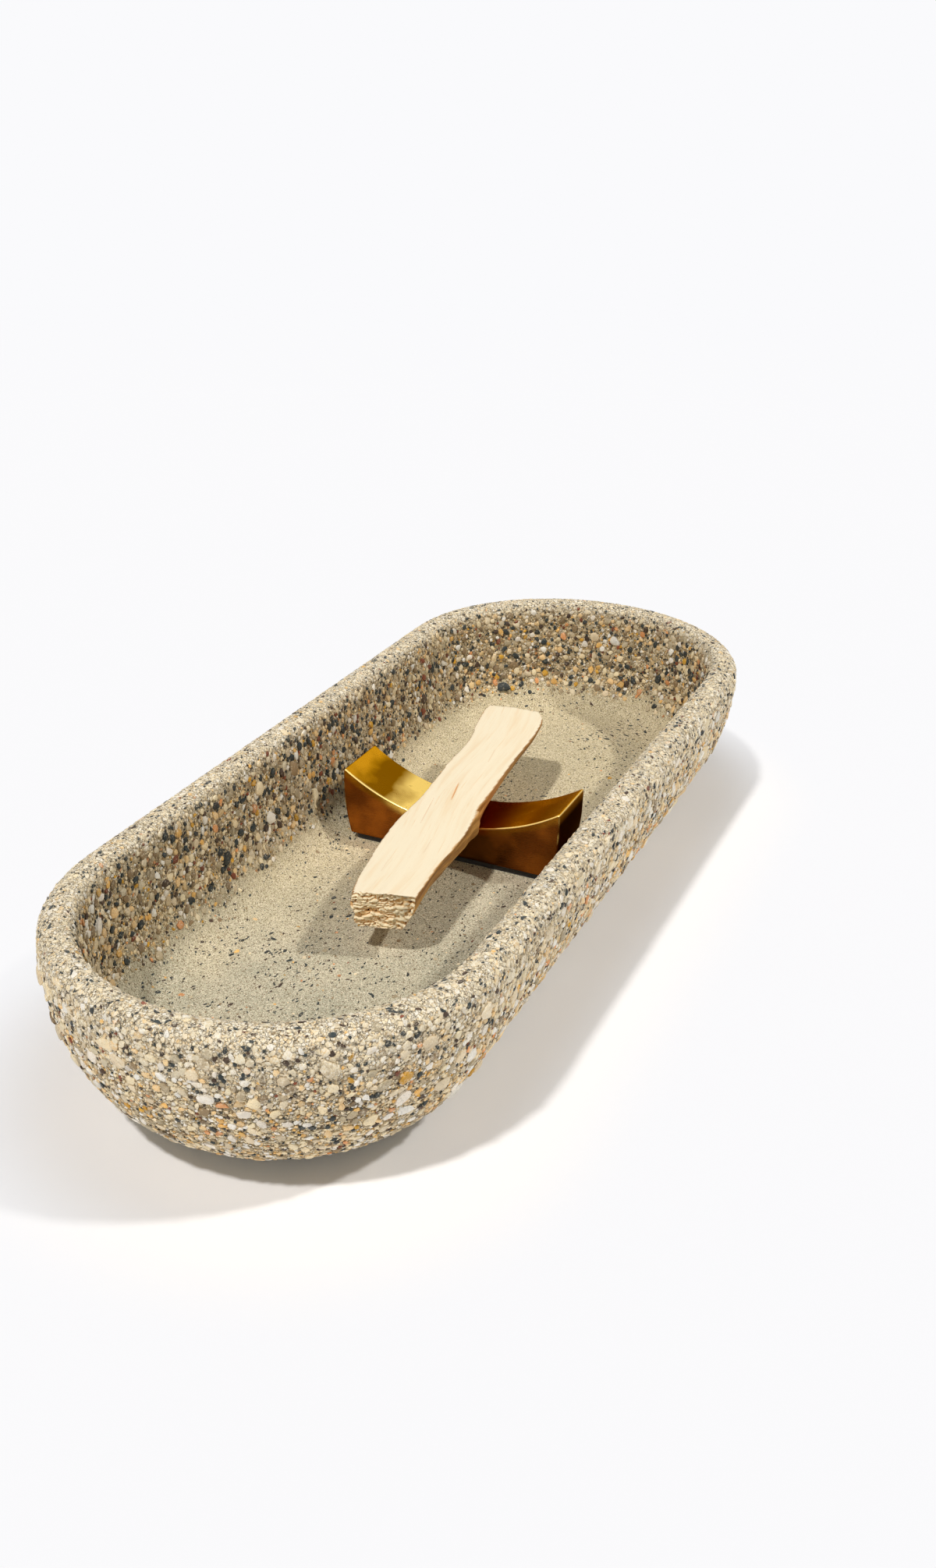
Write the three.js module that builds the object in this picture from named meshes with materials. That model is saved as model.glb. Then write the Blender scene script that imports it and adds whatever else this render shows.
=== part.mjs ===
// A palo santo holder: a long round-ended dish cast in exposed-aggregate concrete on four
// felt feet, a solid brass rest with a hollowed top that stands across the dish on a felt
// pad, and one split stick of the wood lying in the hollow.
//
// Millimetres. +X runs along the dish, away from the end nearest the viewer, +Y is to the
// viewer's left and +Z is up. The origin is on the table, under the middle of the dish.

import * as THREE from 'three';

const { degToRad } = THREE.MathUtils;

// The dish. Its plan is a straight middle with a half-round end each way.
const DISH_LENGTH = 240;
const DISH_WIDTH = 90;
const DISH_HEIGHT = 37; // without the feet
const BELLY_REACH = 21; // how far the outer wall curves in on its way down to the base
const RIM_WALL = 6.9; // wall thickness at the rim
const RIM_OUTER_ROUND = 3;
const RIM_INNER_ROUND = 2.2;
const INNER_DRAFT = 1.4; // how far the inner wall leans in between rim and cove
const COVE_REACH = 8.5; // the cove that joins the inner wall to the floor
const COVE_HEIGHT = 14;
const FLOOR_THICKNESS = 7;

// The felt feet under the dish.
const FOOT_DIAMETER = 10;
const FOOT_HEIGHT = 1.5;
const FOOT_EDGE_ROUND = 0.3;
const FOOT_MARGIN = 3; // flat base left outside each foot

// The brass rest, which stands across the dish with a little play at each end of its foot.
const REST_DEPTH = 16; // along the dish
const REST_HEIGHT = 16.5; // at its two tips
const SADDLE_DEPTH = 8.3; // how far the hollowed top sinks below the tips
const REST_PLAY_LEFT = 0.5; // from its foot to the start of the cove
const REST_PLAY_RIGHT = 4.4;
const REST_UNDERCUT = 2; // how far each end draws in from tip to foot
const REST_UNDERCUT_HEIGHT = 13; // where that curve meets the upright end
const REST_TIP_ROUND = 0.6;
const REST_EDGE_EASE = 0.4; // eased front and back edges
const REST_FORWARD = 11.8; // from the middle of the dish to the middle of the rest
const PAD_THICKNESS = 1.5;
const PAD_INSET = 0.8; // how far the pad stands back from the foot of the brass
const PAD_CORNER = 1.2;

// The stick: a hand-split length, thickest at the end nearest the viewer.
const STICK_LENGTH = 100.5;
const STICK_WIDTH = 15.6;
const STICK_THICK_END = 8.2;
const STICK_THIN = 5.6; // where it lies on the rest
const STICK_OVERHANG = 53.8; // from its near end to the middle of the rest
const STICK_SIDE_SHIFT = 0.6; // from the middle of the rest, to the left
const STICK_YAW = 6.8; // degrees, far end to the left
const STICK_TILT = 1.7; // degrees, far end up
const SEAT_GAP = 0.3; // daylight kept between stick and brass

// How finely curves are divided.
const END_SEGMENTS = 36;
const BELLY_SEGMENTS = 12;
const ROUND_SEGMENTS = 4;
const COVE_SEGMENTS = 8;
const SADDLE_SEGMENTS = 36;
const STICK_STEPS = 44;
const FOOT_SEGMENTS = 28;

const QUARTER_TURN = Math.PI / 2;
const SAME_POINT = 0.01; // points nearer to each other than this are one

// Heights and radii that several pieces share.
const dish = {
  halfStraight: (DISH_LENGTH - DISH_WIDTH) / 2,
  rimRadius: DISH_WIDTH / 2,
  baseRadius: DISH_WIDTH / 2 - BELLY_REACH,
  floorRadius: DISH_WIDTH / 2 - RIM_WALL - INNER_DRAFT - COVE_REACH,
  floorZ: FOOT_HEIGHT + FLOOR_THICKNESS,
};
const rest = {
  footLength: 2 * dish.floorRadius - REST_PLAY_LEFT - REST_PLAY_RIGHT,
  y: (REST_PLAY_RIGHT - REST_PLAY_LEFT) / 2,
  baseZ: dish.floorZ + PAD_THICKNESS,
};
rest.tipHalf = rest.footLength / 2 + REST_UNDERCUT;
rest.saddleHalf = rest.tipHalf - REST_TIP_ROUND;
rest.saddleRadius = (rest.saddleHalf ** 2 + SADDLE_DEPTH ** 2) / (2 * SADDLE_DEPTH);
rest.saddleCentreZ = REST_HEIGHT - SADDLE_DEPTH + rest.saddleRadius;

// Materials.
const concrete = new THREE.MeshStandardMaterial({ color: 0xb9ad97, roughness: 0.92, metalness: 0 });
const brass = new THREE.MeshStandardMaterial({ color: 0xc79a3f, roughness: 0.34, metalness: 1 });
const felt = new THREE.MeshStandardMaterial({ color: 0x1f1c1a, roughness: 1, metalness: 0 });
const paleWood = new THREE.MeshStandardMaterial({ color: 0xf0d9b0, roughness: 0.72, metalness: 0 });

// A piece of an ellipse, as divided points after its start.
function ellipsePoints(x, y, rx, ry, start, end, divisions) {
  const curve = new THREE.EllipseCurve(x, y, rx, ry, start, end, end < start);
  return curve.getPoints(divisions).slice(1);
}

// The wall of the dish in section, as (distance from the end's axis, height): out along the
// belly, over the rim and down the inner wall to the edge of the floor.
function dishSection() {
  const { rimRadius, baseRadius } = dish;
  const rimLandOuter = rimRadius - RIM_OUTER_ROUND;
  const innerWall = rimRadius - RIM_WALL;
  const rimLandInner = innerWall + RIM_INNER_ROUND;
  const coveTop = FLOOR_THICKNESS + COVE_HEIGHT;
  const belly = DISH_HEIGHT - RIM_OUTER_ROUND;
  return [
    new THREE.Vector2(baseRadius, 0),
    ...ellipsePoints(baseRadius, belly, BELLY_REACH, belly, -QUARTER_TURN, 0, BELLY_SEGMENTS),
    ...ellipsePoints(rimLandOuter, belly, RIM_OUTER_ROUND, RIM_OUTER_ROUND, 0, QUARTER_TURN, ROUND_SEGMENTS),
    new THREE.Vector2(rimLandInner, DISH_HEIGHT),
    ...ellipsePoints(rimLandInner, DISH_HEIGHT - RIM_INNER_ROUND, RIM_INNER_ROUND, RIM_INNER_ROUND,
      QUARTER_TURN, 2 * QUARTER_TURN, ROUND_SEGMENTS),
    new THREE.Vector2(innerWall - INNER_DRAFT, coveTop),
    ...ellipsePoints(dish.floorRadius, coveTop, COVE_REACH, COVE_HEIGHT, 0, -QUARTER_TURN, COVE_SEGMENTS),
  ];
}

// Sweeps a wall section round a plan with two half-round ends, and closes it with a flat
// at its first and last point. Offsets of such a plan share the ends' two centres.
function roundEndedSweep(section, halfStraight, endSegments) {
  const positions = [];
  const ring = [1, -1].flatMap((side) => Array.from({ length: endSegments + 1 }, (_, i) => {
    const angle = (i / endSegments) * Math.PI - side * QUARTER_TURN;
    return { centre: side * halfStraight, cos: Math.cos(angle), sin: Math.sin(angle) };
  }));
  for (const { x: radius, y: height } of section) {
    for (const { centre, cos, sin } of ring) {
      positions.push(centre + radius * cos, radius * sin, height);
    }
  }
  const count = ring.length;
  const indices = [];
  for (let level = 0; level < section.length - 1; level += 1) {
    for (let i = 0; i < count; i += 1) {
      const a = level * count + i;
      const b = level * count + ((i + 1) % count);
      indices.push(a, b, b + count, a, b + count, a + count);
    }
  }
  // A flat is one strip between the ends' centres, and strips from side to side beyond each.
  const flat = [[0, endSegments, endSegments + 1], [0, endSegments + 1, count - 1]];
  for (const start of [0, endSegments + 1]) {
    for (let a = start, b = start + endSegments; a + 1 < b; a += 1, b -= 1) {
      flat.push([a, a + 1, b]);
      if (a + 1 < b - 1) flat.push([a + 1, b - 1, b]);
    }
  }
  const top = (section.length - 1) * count;
  for (const [a, b, c] of flat) {
    indices.push(a, c, b, top + a, top + b, top + c);
  }
  const geometry = new THREE.BufferGeometry();
  geometry.setAttribute('position', new THREE.Float32BufferAttribute(positions, 3));
  geometry.setIndex(indices);
  geometry.computeVertexNormals();
  return geometry;
}

// Joins rings of equal point counts into one closed skin with a fan at each end. Each ring
// runs anticlockwise as seen from the far end.
function loft(rings) {
  const count = rings[0].length;
  const centres = [rings[0], rings[rings.length - 1]].map((ring) => ring
    .reduce((sum, point) => sum.add(point), new THREE.Vector3()).divideScalar(count));
  const positions = [...rings.flat(), ...centres].flatMap((point) => point.toArray());
  const indices = [];
  for (let level = 0; level < rings.length - 1; level += 1) {
    for (let i = 0; i < count; i += 1) {
      const a = level * count + i;
      const b = level * count + ((i + 1) % count);
      indices.push(a, b, b + count, a, b + count, a + count);
    }
  }
  const last = (rings.length - 1) * count;
  const nearCentre = rings.length * count;
  for (let i = 0; i < count; i += 1) {
    const next = (i + 1) % count;
    indices.push(nearCentre, next, i);
    indices.push(nearCentre + 1, last + i, last + next);
  }
  const geometry = new THREE.BufferGeometry();
  geometry.setAttribute('position', new THREE.Float32BufferAttribute(positions, 3));
  geometry.setIndex(indices);
  geometry.computeVertexNormals();
  return geometry;
}

// The concrete dish, its flat base on the feet.
function buildDish() {
  const geometry = roundEndedSweep(dishSection(), dish.halfStraight, END_SEGMENTS);
  const mesh = new THREE.Mesh(geometry, concrete);
  mesh.name = 'dish';
  mesh.position.z = FOOT_HEIGHT;
  return mesh;
}

// One felt foot: a disc with softened edges, its axis upright.
function footGeometry() {
  const radius = FOOT_DIAMETER / 2;
  const round = FOOT_EDGE_ROUND;
  const outline = [
    new THREE.Vector2(0, 0),
    new THREE.Vector2(radius - round, 0),
    new THREE.Vector2(radius, round),
    new THREE.Vector2(radius, FOOT_HEIGHT - round),
    new THREE.Vector2(radius - round, FOOT_HEIGHT),
    new THREE.Vector2(0, FOOT_HEIGHT),
  ];
  return new THREE.LatheGeometry(outline, FOOT_SEGMENTS).rotateX(QUARTER_TURN);
}

// Four feet, level with the centres of the dish's round ends and just inside its base.
function buildFeet() {
  const feet = new THREE.Group();
  const across = dish.baseRadius - FOOT_MARGIN - FOOT_DIAMETER / 2;
  const places = { near_left: [-1, 1], near_right: [-1, -1], far_left: [1, 1], far_right: [1, -1] };
  for (const [place, [alongSide, acrossSide]] of Object.entries(places)) {
    const foot = new THREE.Mesh(footGeometry(), felt);
    foot.name = `felt_foot_${place}`;
    foot.position.set(alongSide * dish.halfStraight, acrossSide * across, 0);
    feet.add(foot);
  }
  return feet;
}

// The brass rest seen along the dish: a flat foot, ends that draw in below, and a top
// hollowed to one arc between two tips.
function restOutline() {
  const footHalf = rest.footLength / 2;
  const { tipHalf, saddleHalf, saddleRadius, saddleCentreZ } = rest;
  const tipAngle = Math.asin(saddleHalf / saddleRadius);
  const outline = new THREE.Shape();
  outline.moveTo(-footHalf, 0);
  outline.lineTo(footHalf, 0);
  outline.quadraticCurveTo(tipHalf, REST_UNDERCUT_HEIGHT / 2, tipHalf, REST_UNDERCUT_HEIGHT);
  outline.lineTo(tipHalf, REST_HEIGHT - REST_TIP_ROUND);
  outline.quadraticCurveTo(tipHalf, REST_HEIGHT, saddleHalf, REST_HEIGHT);
  outline.absarc(0, saddleCentreZ, saddleRadius, tipAngle - QUARTER_TURN, -tipAngle - QUARTER_TURN, true);
  outline.quadraticCurveTo(-tipHalf, REST_HEIGHT, -tipHalf, REST_HEIGHT - REST_TIP_ROUND);
  outline.lineTo(-tipHalf, REST_UNDERCUT_HEIGHT);
  outline.quadraticCurveTo(-tipHalf, REST_UNDERCUT_HEIGHT / 2, -footHalf, 0);
  return outline;
}

// The outline as points: its long arc finely divided, its short curves coarsely, and no
// point twice where two of them meet.
function dividedOutline(outline) {
  const points = outline.curves.flatMap((curve) => {
    if (curve.isLineCurve) return curve.getPoints(1);
    return curve.getPoints(curve.isEllipseCurve ? SADDLE_SEGMENTS : ROUND_SEGMENTS);
  });
  const isLastOfItsKind = (point, i) => point
    .distanceTo(points[(i + 1) % points.length]) > SAME_POINT;
  return new THREE.Shape(points.filter(isLastOfItsKind));
}

// The rest: its outline pushed along the dish, with the front and back edges eased.
function buildRest() {
  const ease = REST_EDGE_EASE;
  const depth = REST_DEPTH - 2 * ease;
  const geometry = new THREE.ExtrudeGeometry(dividedOutline(restOutline()), {
    depth,
    bevelThickness: ease,
    bevelSize: ease,
    bevelOffset: -ease,
    bevelSegments: 2,
  });
  geometry.translate(0, 0, -depth / 2);
  geometry.rotateY(QUARTER_TURN).rotateX(QUARTER_TURN);
  const mesh = new THREE.Mesh(geometry, brass);
  mesh.name = 'brass_rest';
  mesh.position.set(REST_FORWARD, rest.y, rest.baseZ);
  return mesh;
}

// The felt under the brass: its foot, drawn in a little all round, with round corners.
function buildRestPad() {
  const halfX = REST_DEPTH / 2 - PAD_INSET;
  const halfY = rest.footLength / 2 - PAD_INSET;
  const outline = new THREE.Shape();
  outline.moveTo(halfX, PAD_CORNER - halfY);
  outline.absarc(halfX - PAD_CORNER, halfY - PAD_CORNER, PAD_CORNER, 0, QUARTER_TURN);
  outline.absarc(PAD_CORNER - halfX, halfY - PAD_CORNER, PAD_CORNER, QUARTER_TURN, 2 * QUARTER_TURN);
  outline.absarc(PAD_CORNER - halfX, PAD_CORNER - halfY, PAD_CORNER, 2 * QUARTER_TURN, 3 * QUARTER_TURN);
  outline.absarc(halfX - PAD_CORNER, PAD_CORNER - halfY, PAD_CORNER, 3 * QUARTER_TURN, 4 * QUARTER_TURN);
  const options = { depth: PAD_THICKNESS, bevelEnabled: false, curveSegments: ROUND_SEGMENTS };
  const mesh = new THREE.Mesh(new THREE.ExtrudeGeometry(outline, options), felt);
  mesh.name = 'rest_pad';
  mesh.position.set(REST_FORWARD, rest.y, dish.floorZ);
  return mesh;
}

// The stick's shape at stations from its near end to its far one. left and right are the
// top edges from the centre line, in half widths; bulk runs from 0 at the thin part to 1 at
// the thick end; cutLeft and cutRight are how far the bottom edges lie in from the top ones,
// in millimetres.
const STICK_STATIONS = [
  { at: 0.0, left: 0.81, right: 0.88, bulk: 1.0, cutLeft: 0.4, cutRight: 2.4 },
  { at: 0.08, left: 0.98, right: 0.89, bulk: 0.95, cutLeft: 0.8, cutRight: 2.8 },
  { at: 0.16, left: 1.04, right: 0.93, bulk: 0.84, cutLeft: 1.1, cutRight: 3.0 },
  { at: 0.27, left: 1.09, right: 1.07, bulk: 0.45, cutLeft: 1.2, cutRight: 2.2 },
  { at: 0.36, left: 1.04, right: 1.05, bulk: 0.16, cutLeft: 1.2, cutRight: 0.9 },
  { at: 0.42, left: 0.93, right: 0.96, bulk: 0.04, cutLeft: 1.1, cutRight: 0.2 },
  { at: 0.5, left: 0.86, right: 1.02, bulk: 0.0, cutLeft: 1.1, cutRight: 1.3 },
  { at: 0.66, left: 0.8, right: 1.1, bulk: 0.05, cutLeft: 1.0, cutRight: 2.6 },
  { at: 0.77, left: 0.69, right: 1.18, bulk: 0.1, cutLeft: 0.8, cutRight: 3.0 },
  { at: 0.87, left: 0.82, right: 1.24, bulk: 0.12, cutLeft: 0.9, cutRight: 3.0 },
  { at: 0.96, left: 0.88, right: 1.16, bulk: 0.1, cutLeft: 1.1, cutRight: 2.6 },
  { at: 1.0, left: 0.82, right: 0.88, bulk: 0.06, cutLeft: 1.2, cutRight: 1.4 },
];
const STICK_END_SKEW = 1.6; // the near end is chopped this far off square, each side
const STICK_SIDE_SWELL = 0.5; // how far each split side stands out half-way down
const STICK_CROWN = 0.35; // rise of the middle of the top
const STICK_LOWER_EASE = 0.6; // blunted bottom edges
const STICK_SHELF = 0.9; // how far the upper layer overhangs on the left at the near end
const STICK_SHELF_RUN = 0.4; // the share of the length that this shelf takes to fade out

// One station's section, anticlockwise as seen from the far end, at its place along x.
function stickSection({ at, left, right, bulk, cutLeft, cutRight }) {
  const half = STICK_WIDTH / 2;
  const thickness = STICK_THIN + bulk * (STICK_THICK_END - STICK_THIN);
  const shelf = STICK_SHELF * Math.max(0, 1 - at / STICK_SHELF_RUN);
  const [topLeft, topRight] = [left * half, -right * half];
  const [lowLeft, lowRight] = [topLeft - cutLeft, topRight + cutRight];
  const outline = [
    [topRight, 0],
    [(topLeft + topRight) / 2, STICK_CROWN],
    [topLeft, 0],
    [topLeft + shelf, -0.4 * thickness],
    [(topLeft + lowLeft) / 2 + STICK_SIDE_SWELL - shelf / 2, -0.55 * thickness],
    [lowLeft + STICK_SIDE_SWELL, STICK_LOWER_EASE - thickness],
    [lowLeft - STICK_LOWER_EASE, -thickness],
    [lowRight + STICK_LOWER_EASE, -thickness],
    [lowRight, STICK_LOWER_EASE - thickness],
    [(topRight + lowRight) / 2 - STICK_SIDE_SWELL, -thickness / 2],
  ];
  const skew = STICK_END_SKEW * (1 - at);
  return outline.map(([y, z]) => new THREE.Vector3(
    at * STICK_LENGTH - STICK_OVERHANG - (skew * y) / half,
    y,
    z,
  )).reverse();
}

// The stick's skin: a smooth rail through each corner of the stations, divided evenly.
function stickGeometry() {
  const sections = STICK_STATIONS.map(stickSection);
  const rails = sections[0].map((_, corner) => new THREE.CatmullRomCurve3(
    sections.map((section) => section[corner]),
    false,
    'centripetal',
  ));
  const rings = Array.from({ length: STICK_STEPS + 1 }, (_, step) => rails
    .map((rail) => rail.getPoint(step / STICK_STEPS)));
  return loft(rings);
}

// Height of the saddle at a place across the dish, on the table's scale.
function saddleHeight(y) {
  const across = y - rest.y;
  return rest.baseZ + rest.saddleCentreZ - Math.sqrt(rest.saddleRadius ** 2 - across ** 2);
}

// How far the turned stick rises so that the lowest part of it over the rest just clears
// the brass.
function seatRise(mesh) {
  mesh.updateMatrixWorld(true);
  const places = mesh.geometry.getAttribute('position');
  const reach = (REST_DEPTH + STICK_LENGTH / STICK_STEPS) / 2;
  const point = new THREE.Vector3();
  let rise = -Infinity;
  for (let i = 0; i < places.count; i += 1) {
    point.fromBufferAttribute(places, i).applyMatrix4(mesh.matrixWorld);
    if (Math.abs(point.x - REST_FORWARD) <= reach) {
      rise = Math.max(rise, saddleHeight(point.y) - point.z);
    }
  }
  return rise + SEAT_GAP;
}

function buildStick() {
  const mesh = new THREE.Mesh(stickGeometry(), paleWood);
  mesh.name = 'palo_santo_stick';
  mesh.rotation.set(0, -degToRad(STICK_TILT), degToRad(STICK_YAW), 'ZYX');
  mesh.position.set(REST_FORWARD, rest.y + STICK_SIDE_SHIFT, 0);
  mesh.position.z = seatRise(mesh);
  return mesh;
}

const holder = new THREE.Group();
holder.name = 'palo_santo_holder';
holder.add(buildDish(), buildFeet(), buildRest(), buildRestPad(), buildStick());

export default holder;
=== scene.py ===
"""Looks of a palo santo holder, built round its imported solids.

A long round-ended dish cast in concrete stands on four felt feet. Its walls show their
aggregate, its rim is ground and its floor is smooth. A brass rest with a hollowed top
stands across the dish on a felt pad and carries one split stick of palo santo.

Lengths are metres, and MM turns a length in millimetres into one. +X runs along the dish
away from its near end, +Y is to the left and +Z is up.
"""

import logging
import math
import random
from collections.abc import Callable
from dataclasses import dataclass, field
from enum import Enum

import bmesh
import bpy
import numpy as np
from mathutils import Matrix, Vector, noise
from mathutils.bvhtree import BVHTree


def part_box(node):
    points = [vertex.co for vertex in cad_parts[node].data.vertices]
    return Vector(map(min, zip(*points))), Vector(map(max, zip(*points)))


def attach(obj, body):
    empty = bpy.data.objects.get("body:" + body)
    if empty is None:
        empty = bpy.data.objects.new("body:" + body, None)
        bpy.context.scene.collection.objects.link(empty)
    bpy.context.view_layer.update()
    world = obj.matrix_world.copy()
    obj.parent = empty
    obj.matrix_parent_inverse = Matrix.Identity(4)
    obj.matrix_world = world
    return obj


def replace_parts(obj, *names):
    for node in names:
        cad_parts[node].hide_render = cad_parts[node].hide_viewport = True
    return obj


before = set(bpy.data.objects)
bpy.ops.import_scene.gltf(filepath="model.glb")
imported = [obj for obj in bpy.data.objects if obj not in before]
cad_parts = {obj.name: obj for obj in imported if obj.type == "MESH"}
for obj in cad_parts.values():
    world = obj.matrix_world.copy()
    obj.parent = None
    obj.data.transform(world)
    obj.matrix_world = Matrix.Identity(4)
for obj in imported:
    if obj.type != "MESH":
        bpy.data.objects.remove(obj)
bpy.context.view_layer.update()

MM = 0.001
PER_MM = 1000.0
MERGE = 0.002 * MM

# A unit normal or edge with at least this much along an axis is taken to lie along it.
LEVEL = 0.9

# Where a colour mix node keeps its factor, first colour, second colour and result.
MIX_COLOUR_INPUTS = (0, 6, 7)
MIX_COLOUR_OUTPUT = 2

log = logging.getLogger("holder")

Colour = tuple[float, float, float, float]
Socket = bpy.types.NodeSocket
MeshPart = bmesh.types.BMFace | bmesh.types.BMEdge


def srgb(red: int, green: int, blue: int) -> Colour:
    """Turns a display colour, 0 to 255, into the linear one that shaders take.

    Args:
        red: red channel.
        green: green channel.
        blue: blue channel.

    Returns:
        The linear colour with alpha 1.
    """
    linear = []
    for value in (red, green, blue):
        share = value / 255
        linear.append(share / 12.92 if share <= 0.04045 else ((share + 0.055) / 1.055) ** 2.4)
    return (linear[0], linear[1], linear[2], 1.0)


def smooth_step(low: float, high: float, value: np.ndarray) -> np.ndarray:
    """Rises smoothly from 0 at low to 1 at high; low may be the larger."""
    share = np.clip((value - low) / (high - low), 0.0, 1.0)
    return share * share * (3 - 2 * share)


def dish_plan() -> tuple[float, float]:
    """Measures the dish's plan, a straight middle between two half rounds.

    Returns:
        Half its width, and half the length of its straight sides.
    """
    low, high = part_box("dish")
    half_width = (high.y - low.y) / 2
    return half_width, (high.x - low.x) / 2 - half_width


def noise_at(places: np.ndarray, size: float, seed: float) -> np.ndarray:
    """Samples smooth noise at each place.

    Args:
        places: rows of x, y, z.
        size: the width of one blob of the noise.
        seed: shifts the noise, so that two fields differ.

    Returns:
        One value for each place, mostly between -1 and 1.
    """
    shift = np.array([seed, seed * 1.7, -seed])
    return np.array([noise.noise(Vector(place)) for place in places / size + shift])


def waves(places: np.ndarray, shape: tuple[float, float], seed: float) -> np.ndarray:
    """Samples waves of noise at each place.

    Args:
        places: rows of x, y, z.
        shape: the waves' height and their width.
        seed: shifts the waves, so that two fields differ.

    Returns:
        One value for each place.
    """
    height, width = shape
    return height * noise_at(places, width, seed)


def placed(name: str, data: bpy.types.ID) -> bpy.types.Object:
    """Puts a mesh, a lamp or a camera into the scene under a name.

    Args:
        name: the object's name.
        data: the mesh, lamp or camera.

    Returns:
        The object.
    """
    piece = bpy.data.objects.new(name, data)
    bpy.context.scene.collection.objects.link(piece)
    return piece


class Shape:
    """Edit-mode steps on one piece, as a modeller would take them."""

    def __init__(self, piece: bpy.types.Object, name: str) -> None:
        """Names a piece and makes it the one selected and active object.

        Args:
            piece: the piece.
            name: its name and its mesh's.
        """
        self.piece = piece
        piece.name = name
        piece.data.name = name
        bpy.ops.object.select_all(action="DESELECT")
        piece.select_set(True)
        bpy.context.view_layer.objects.active = piece

    def edit(self) -> None:
        """Starts editing with all of the mesh selected."""
        bpy.ops.object.mode_set(mode="EDIT")
        bpy.ops.mesh.select_all(action="SELECT")

    def done(self) -> None:
        """Ends editing."""
        bpy.ops.object.mode_set(mode="OBJECT")

    def pick(self, kind: str, wanted: Callable[[MeshPart], bool]) -> None:
        """Selects just the faces, or just the edges, that are wanted, in edit mode.

        Args:
            kind: FACE or EDGE.
            wanted: says whether a face or an edge is one of them.
        """
        bpy.ops.mesh.select_mode(type=kind)
        bpy.ops.mesh.select_all(action="DESELECT")
        mesh = bmesh.from_edit_mesh(self.piece.data)
        for part in mesh.faces if kind == "FACE" else mesh.edges:
            if wanted(part):
                part.select_set(True)
        bmesh.update_edit_mesh(self.piece.data)

    def slice(self, places: list[float], axis: Vector) -> None:
        """Cuts all of the mesh across an axis at these places, in edit mode.

        Args:
            places: distances from the origin along the axis.
            axis: a unit vector.
        """
        for place in places:
            bpy.ops.mesh.select_all(action="SELECT")
            bpy.ops.mesh.bisect(plane_co=axis * place, plane_no=axis)

    def apply(self, kind: str, **settings: object) -> None:
        """Adds a modifier with these settings and applies it.

        Args:
            kind: the modifier's type.
            settings: its properties by name.
        """
        modifier = self.piece.modifiers.new(kind.lower(), kind)
        for key, value in settings.items():
            setattr(modifier, key, value)
        bpy.ops.object.modifier_apply(modifier=modifier.name)

    def settle(self) -> None:
        """Puts the piece's place, turn and size into its mesh."""
        bpy.ops.object.transform_apply(location=True, rotation=True, scale=True)

    @property
    def vertices(self) -> np.ndarray:
        """The vertices as rows of x, y, z.

        Returns:
            One row for each vertex.
        """
        flat = np.empty(len(self.piece.data.vertices) * 3)
        self.piece.data.vertices.foreach_get("co", flat)
        return flat.reshape(-1, 3)

    @vertices.setter
    def vertices(self, places: np.ndarray) -> None:
        """Moves the vertices to these rows of x, y, z."""
        self.piece.data.vertices.foreach_set("co", places.ravel())
        self.piece.data.update()

    @property
    def normals(self) -> np.ndarray:
        """The normal at each vertex.

        Returns:
            One row of x, y, z for each vertex.
        """
        flat = np.empty(len(self.piece.data.vertices) * 3)
        self.piece.data.vertex_normals.foreach_get("vector", flat)
        return flat.reshape(-1, 3)

    def keep(self, name: str, values: np.ndarray) -> None:
        """Stores a number, or a vector, for each vertex under a name.

        Args:
            name: the attribute's name.
            values: one number or one row of three for each vertex.
        """
        kind, key = ("FLOAT", "value") if values.ndim == 1 else ("FLOAT_VECTOR", "vector")
        attribute = self.piece.data.attributes.new(name, kind, "POINT")
        attribute.data.foreach_set(key, values.astype(np.float32).ravel())

    def dress(self, material: bpy.types.Material, slot: str, body: str, replaced: str = "") -> None:
        """Gives the piece its material, the body it rides on and what it stands for.

        Args:
            material: its finish.
            slot: not used.
            body: the body it rides on.
            replaced: the solid it stands for, if any.
        """
        self.piece.data.materials.clear()
        self.piece.data.materials.append(material)
        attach(self.piece, body)
        self.piece
        if replaced:
            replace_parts(self.piece, replaced)
        self.piece.data.calc_loop_triangles()
        log.info("%s: %d triangles", self.piece.name, len(self.piece.data.loop_triangles))


def merged_copy(node: str, name: str) -> Shape:
    """Copies a solid from the frame and merges its loose triangles.

    Args:
        node: the solid's node.
        name: the copy's name.

    Returns:
        The copy, ready to be shaped.
    """
    shape = Shape(placed(name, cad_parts[node].data.copy()), name)
    shape.edit()
    bpy.ops.mesh.remove_doubles(threshold=MERGE)
    shape.done()
    return shape


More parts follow.
